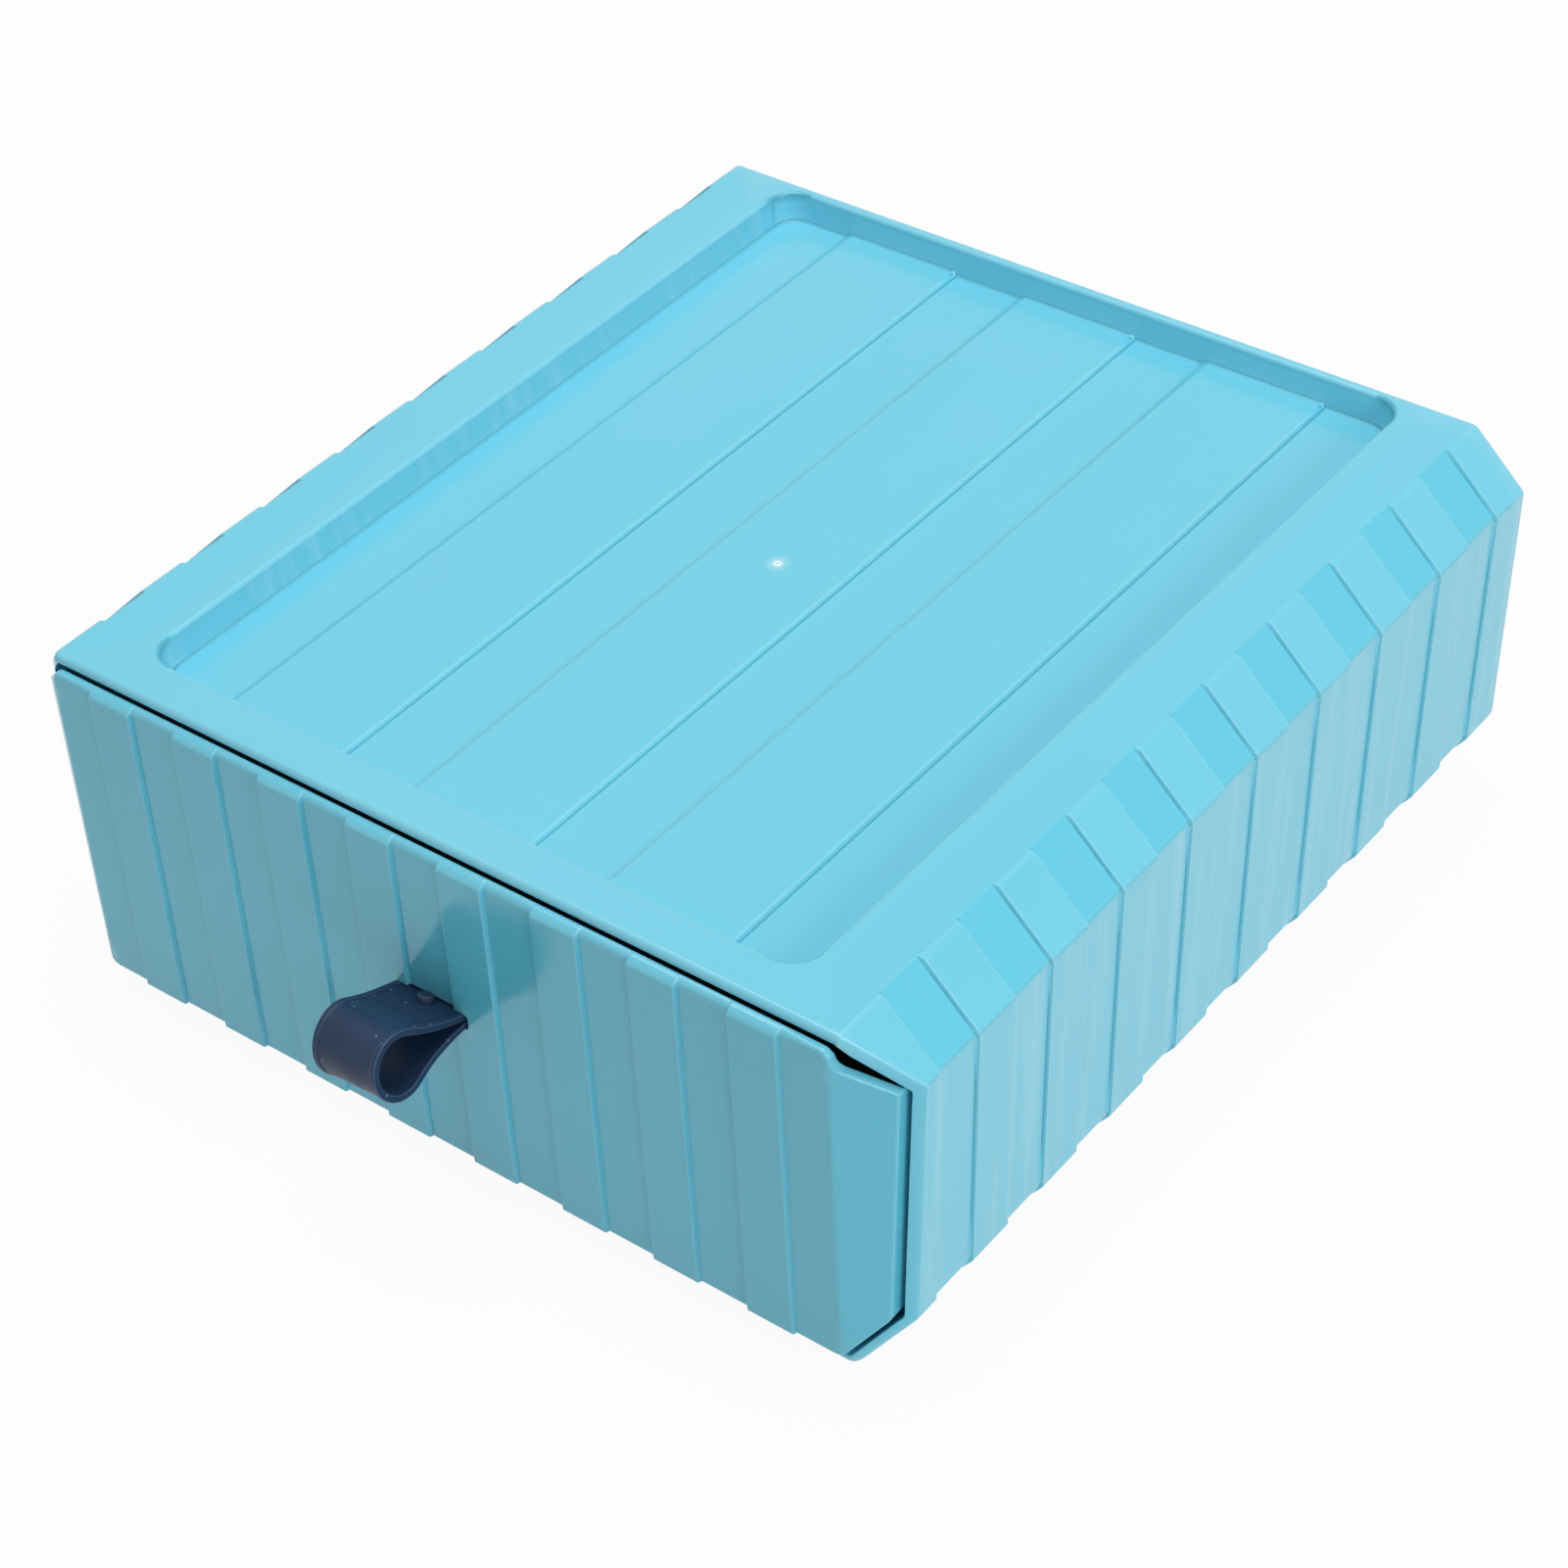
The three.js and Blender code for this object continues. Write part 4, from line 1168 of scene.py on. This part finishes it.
def mixed(nodes, links, share, first, second):
    """Mixes two colours: the first where the share is 0, the second where it is 1."""
    node = nodes.new("ShaderNodeMix")
    node.data_type = "RGBA"
    links.new(share, node.inputs["Factor"])
    for socket, colour in ((node.inputs["A"], first), (node.inputs["B"], second)):
        if isinstance(colour, tuple):
            socket.default_value = colour
        else:
            links.new(colour, socket)
    return node.outputs["Result"]


def linear(red, green, blue):
    """A colour written as 0 to 255, as the shader wants it."""
    shares = np.array([red, green, blue]) / 255
    lit = np.where(shares <= 0.04045, shares / 12.92, ((shares + 0.055) / 1.055) ** 2.4)
    return (*lit.tolist(), 1.0)


def attribute(nodes, name):
    """The value that a mesh stores at each point under that name."""
    node = nodes.new("ShaderNodeAttribute")
    node.attribute_name = name
    return node.outputs["Fac"]


def product(nodes, links, first, second):
    """Two shares multiplied: it shows only where both do."""
    node = nodes.new("ShaderNodeMath")
    node.operation = "MULTIPLY"
    links.new(first, node.inputs[0])
    links.new(second, node.inputs[1])
    return node.outputs["Value"]


def normal_part(nodes, links, axis):
    """One component of the surface's own normal."""
    split = nodes.new("ShaderNodeSeparateXYZ")
    links.new(nodes.new("ShaderNodeNewGeometry").outputs["Normal"], split.inputs["Vector"])
    return split.outputs[axis]


def absolute(nodes, links, value):
    """A value without its sign."""
    node = nodes.new("ShaderNodeMath")
    node.operation = "ABSOLUTE"
    links.new(value, node.inputs[0])
    return node.outputs["Value"]


def bumps(nodes, links, distance, strength, pattern):
    """Bumps of that height in metres, after a pattern of noise."""
    node = nodes.new("ShaderNodeBump")
    node.inputs["Distance"].default_value = distance
    node.inputs["Strength"].default_value = strength
    links.new(noise(nodes, links, *pattern), node.inputs["Height"])
    return node


def seen_or_lighting(nodes, links, lighting, seen):
    """One value for the light that falls on things, and another for what the camera and a gloss see."""
    path = nodes.new("ShaderNodeLightPath")
    either = nodes.new("ShaderNodeMath")
    either.operation = "MAXIMUM"
    links.new(path.outputs["Is Camera Ray"], either.inputs[0])
    links.new(path.outputs["Is Glossy Ray"], either.inputs[1])
    return ranged(nodes, links, either.outputs["Value"], 0, 1, lighting, seen)


def halo(nodes, links, centre, inner, outer):
    """A share that falls from 1 to 0 between two distances from a place."""
    place = nodes.new("ShaderNodeTexCoord")
    away = nodes.new("ShaderNodeVectorMath")
    away.operation = "DISTANCE"
    away.inputs[1].default_value = centre
    links.new(place.outputs["Object"], away.inputs[0])
    return ranged(nodes, links, away.outputs["Value"], outer, inner)


# Distances from the gate's middle, in metres: where its halo, ring and dark core begin and end
GATE_HALO = (0.0002, 0.0036)
GATE_RING = (0.0010, 0.0013)
GATE_CORE = (0.0006, 0.0003)
GATE_WHITE = (240, 250, 252)

# Patterns of noise: scale, detail and stretch along the axes
FLOW_MARKS = (9, 3, (1, 0.35, 1))
WALL_STREAKS = (210, 3, (1, 1, 0.03))
SMEARS = (45, 4, (1, 1, 0.15))
FINE_SKIN = (2600, 2)
DRAWN_LINES = (420, 2, (1, 1, 0.02))
NAVY_CLOUDS = (60, 4)
MATT_PATCHES = (160, 4)
RUBBER_SKIN = (1900, 3)

# Where a pattern, a ridge value or a part of the normal begins and ends to show, and its shares there
FLOW_RANGE = (0.35, 0.65, 0, 0.35)
UPWARD_RANGE = (0.35, 0.6)
STREAK_RANGE = (0.5, 0.72)
SIDEWAYS_RANGE = (0.8, 0.95)
# Ridge values over which ridges take the pale colour as a painted highlight
PAINTED_HIGHLIGHT_RANGE = (0.03, 0.25, 0)
# Ridge values over which grooves take the groove colour as painted shade
PAINTED_CREASE_SHADE_RANGE = (-0.05, -0.17, 0)
SMEAR_RANGE = (0.25, 0.75)
CLOUD_RANGE = (0.3, 0.7)
SPECK_RANGE = (0.1, 0.055)
# Ridge values over which the strap's edges take the pale colour as a painted highlight
EDGE_HIGHLIGHT_RANGE = (0.1, 0.3, 0, 0.4)
MATT_RANGE = (0.3, 0.7, 0.45, 0.6)

# Bumps: height in metres and strength
FINE_BUMPS = (0.00002, 0.2)
DRAWN_HEIGHT = 0.00004
RUBBER_BUMPS = (0.00004, 0.4)

PLASTIC_IOR = 1.49
SPECK_SCALE = 260
# The strap's pale colour is for dusty specks and for a painted highlight on its edges
STRAP_LOOK = {"colour": (22, 51, 84), "deeper": (18, 43, 73), "dust_and_highlight": (116, 142, 170)}
STRAP_FINISH = {"Specular IOR Level": 0.35, "Sheen Weight": 0.05, "Sheen Roughness": 0.4}
# In a look, the pale colour paints highlights on ridges and sheen in the wall streaks, and is the gate's
# blush; the groove colour paints shade in creases; the deeper colour is a random tone, and on the casing's
# upward sunken facets it paints shade
CASING_LOOK = {
    "colour": (114, 206, 229),
    "deeper": (98, 202, 226),
    "highlight_and_blush": (172, 222, 236),
    "groove": (52, 156, 178),
    "roughness": (0.18, 0.28),
    "streaks": (0.06, 0.36),
    "painted_highlight": 0.45,
    "painted_crease_shade": 0.8,
    "drawn": 0.15,
}
DRAWER_LOOK = {
    "colour": (96, 195, 219),
    "deeper": (89, 190, 216),
    "highlight_and_blush": (150, 218, 232),
    "groove": (66, 168, 188),
    "roughness": (0.1, 0.2),
    "streaks": (0, 0.04),
    "painted_highlight": 0.28,
    "painted_crease_shade": 0.15,
    "drawn": 0.05,
}


def moulded_plastic(name, look, gate=None):
    """Semi-gloss moulded plastic with a pale ring in a halo where it ran in.

    It has faint flow marks, painted shade on its upward-facing sunken facets, pale streaks on walls that are
    partly painted sheen, painted highlights on ridges and painted shade in grooves.
    """
    material, nodes, links, shader = new_material(name)
    colour, deeper, highlight_and_blush, groove = (linear(*look[part]) for part in ("colour", "deeper", "highlight_and_blush", "groove"))
    flow = ranged(nodes, links, noise(nodes, links, *FLOW_MARKS), *FLOW_RANGE)
    base = mixed(nodes, links, flow, colour, deeper)
    # Painted shade: sunken facets that face up take the deeper colour, for the paler reflection that the
    # raised facets catch
    upward = ranged(nodes, links, normal_part(nodes, links, "Z"), *UPWARD_RANGE)
    base = mixed(nodes, links, product(nodes, links, attribute(nodes, "sunken"), upward), base, deeper)
    # Pale streaks on the side walls: partly a streaky surface, and partly painted sheen for the white that
    # the walls reflect
    streaks = ranged(nodes, links, noise(nodes, links, *WALL_STREAKS), *STREAK_RANGE, *look["streaks"])
    sideways = ranged(nodes, links, absolute(nodes, links, normal_part(nodes, links, "X")), *SIDEWAYS_RANGE)
    base = mixed(nodes, links, product(nodes, links, streaks, sideways), base, highlight_and_blush)
    # Painted highlight: ridges and rounded edges turn pale, as if catching the light
    painted_highlight = ranged(nodes, links, attribute(nodes, "ridge"), *PAINTED_HIGHLIGHT_RANGE, look["painted_highlight"])
    base = mixed(nodes, links, painted_highlight, base, highlight_and_blush)
    # Painted shade: grooves and the feet of steps turn darker, as shade in the crease
    painted_crease_shade = ranged(nodes, links, attribute(nodes, "ridge"), *PAINTED_CREASE_SHADE_RANGE, look["painted_crease_shade"])
    base = mixed(nodes, links, painted_crease_shade, base, groove)
    if gate:
        base = mixed(nodes, links, halo(nodes, links, gate, *GATE_HALO), base, highlight_and_blush)
        inside, outside = (halo(nodes, links, gate, *reach) for reach in (GATE_RING, GATE_CORE))
        base = mixed(nodes, links, product(nodes, links, inside, outside), base, linear(*GATE_WHITE))
    links.new(base, shader.inputs["Base Color"])
    smear = ranged(nodes, links, noise(nodes, links, *SMEARS), *SMEAR_RANGE, *look["roughness"])
    links.new(smear, shader.inputs["Roughness"])
    fine = bumps(nodes, links, *FINE_BUMPS, FINE_SKIN)
    drawn = bumps(nodes, links, DRAWN_HEIGHT, look["drawn"], DRAWN_LINES)
    links.new(fine.outputs["Normal"], drawn.inputs["Normal"])
    links.new(drawn.outputs["Normal"], shader.inputs["Normal"])
    shader.inputs["IOR"].default_value = PLASTIC_IOR
    return material


def silicone_rubber(name, look):
    """Matt navy silicone with a soft sheen, a fine skin, pale dusty specks and painted highlights on its
    edges.
    """
    material, nodes, links, shader = new_material(name)
    colour, deeper, dust_and_highlight = (linear(*look[part]) for part in ("colour", "deeper", "dust_and_highlight"))
    clouds = ranged(nodes, links, noise(nodes, links, *NAVY_CLOUDS), *CLOUD_RANGE)
    base = mixed(nodes, links, clouds, colour, deeper)
    cells = nodes.new("ShaderNodeTexVoronoi")
    cells.inputs["Scale"].default_value = SPECK_SCALE
    place = nodes.new("ShaderNodeTexCoord")
    links.new(place.outputs["Object"], cells.inputs["Vector"])
    base = mixed(nodes, links, ranged(nodes, links, cells.outputs["Distance"], *SPECK_RANGE), base, dust_and_highlight)
    # Painted highlight: the strap's ridges turn pale
    base = mixed(nodes, links, ranged(nodes, links, attribute(nodes, "ridge"), *EDGE_HIGHLIGHT_RANGE), base, dust_and_highlight)
    links.new(base, shader.inputs["Base Color"])
    matt = ranged(nodes, links, noise(nodes, links, *MATT_PATCHES), *MATT_RANGE)
    links.new(matt, shader.inputs["Roughness"])
    skin = bumps(nodes, links, *RUBBER_BUMPS, RUBBER_SKIN)
    links.new(skin.outputs["Normal"], shader.inputs["Normal"])
    for socket, value in STRAP_FINISH.items():
        shader.inputs[socket].default_value = value
    return material


# Stage

WHITE = (1, 1, 1, 1)
FLOOR_REACH = 40
FLOOR_GREY = (0.8, 0.8, 0.8, 1)
FLOOR_ROUGHNESS = 0.9
FLOOR_GLOW = 0.94
WORLD_LIGHT = 0.28
CLIP_START = 0.01

# Softboxes: place, what they face, width and height in metres, and power in watts
LIT_PLACE = (0, 0, 0.05)
OVERHEAD = ((-0.1, 0.1, 1.6), LIT_PLACE, 1.2, 1.2, 16.3)
RIGHT_SIDE = ((1.65, -0.35, 0.85), LIT_PLACE, 1.2, 0.8, 12.4)


def photo_camera():
    """The photograph's camera: its lens and shift follow from focal length and middle in pixels."""
    camera = bpy.data.objects.new("photo_camera", bpy.data.cameras.new("photo_camera"))
    camera.location = [place * MILLIMETRE for place in CAMERA_PLACE]
    camera.rotation_euler = [math.radians(turn) for turn in CAMERA_TURN]
    camera.data.sensor_width = SENSOR
    camera.data.lens = FOCAL_PIXELS / PICTURE * SENSOR
    camera.data.shift_x = (PICTURE / 2 - PRINCIPAL_POINT[0]) / PICTURE
    camera.data.shift_y = (PRINCIPAL_POINT[1] - PICTURE / 2) / PICTURE
    camera.data.clip_start = CLIP_START
    bpy.context.scene.collection.objects.link(camera)
    bpy.context.scene.camera = camera


def softbox(name, place, target, width, height, power):
    """An area light at a place, facing a target."""
    light = bpy.data.lights.new(name, "AREA")
    light.shape = "RECTANGLE"
    light.size, light.size_y = width, height
    light.energy = power
    lamp = bpy.data.objects.new(name, light)
    lamp.location = place
    direction = Vector(target) - Vector(place)
    lamp.rotation_euler = direction.to_track_quat("-Z", "Y").to_euler()
    bpy.context.scene.collection.objects.link(lamp)
    return lamp


def white_floor():
    """A pale floor that shows white to the camera and keeps the object's soft shadow."""
    mesh = bpy.data.meshes.new("floor")
    corners = [(x * FLOOR_REACH, y * FLOOR_REACH, 0) for x, y in ((-1, -1), (1, -1), (1, 1), (-1, 1))]
    mesh.from_pydata(corners, [], [(0, 1, 2, 3)])
    floor = bpy.data.objects.new("floor", mesh)
    bpy.context.scene.collection.objects.link(floor)
    material, nodes, links, shader = new_material("floor_white")
    shader.inputs["Base Color"].default_value = FLOOR_GREY
    shader.inputs["Roughness"].default_value = FLOOR_ROUGHNESS
    glow = nodes.new("ShaderNodeEmission")
    glow.inputs["Color"].default_value = WHITE
    blend = nodes.new("ShaderNodeMixShader")
    links.new(seen_or_lighting(nodes, links, 0, FLOOR_GLOW), blend.inputs["Fac"])
    links.new(shader.outputs["BSDF"], blend.inputs[1])
    links.new(glow.outputs["Emission"], blend.inputs[2])
    links.new(blend.outputs["Shader"], nodes["Material Output"].inputs["Surface"])
    mesh.materials.append(material)


def studio_world():
    """White where the camera looks, and an even pale light all round."""
    world = bpy.data.worlds.new("studio")
    bpy.context.scene.world = world
    world.use_nodes = True
    nodes, links = world.node_tree.nodes, world.node_tree.links
    background = nodes["Background"]
    background.inputs["Color"].default_value = WHITE
    links.new(seen_or_lighting(nodes, links, WORLD_LIGHT, 1), background.inputs["Strength"])


photo_camera()
studio_world()
white_floor()
softbox("overhead", *OVERHEAD)
softbox("right_side", *RIGHT_SIDE)

GATE_PLACE = (0, MOUTH + GATE_DEPTH * MILLIMETRE, (TOP - TRAY_DEPTH + BOARD_HEIGHT) * MILLIMETRE)
turquoise = moulded_plastic("turquoise_plastic", CASING_LOOK, GATE_PLACE)
drawer_turquoise = moulded_plastic("drawer_plastic", DRAWER_LOOK)
navy = silicone_rubber("navy_silicone", STRAP_LOOK)

piece("casing_skin", casing_shell(), turquoise, "casing_body", "casing")
piece("gate_mark", gate_mark(), turquoise, "casing_body")

piece("strap_skin", strap_shell(), navy, "drawer_body", "pull_strap")
piece("drawer_skin", drawer_shell(), drawer_turquoise, "drawer_body", "drawer")

scene = bpy.context.scene
scene.view_settings.view_transform = "Standard"
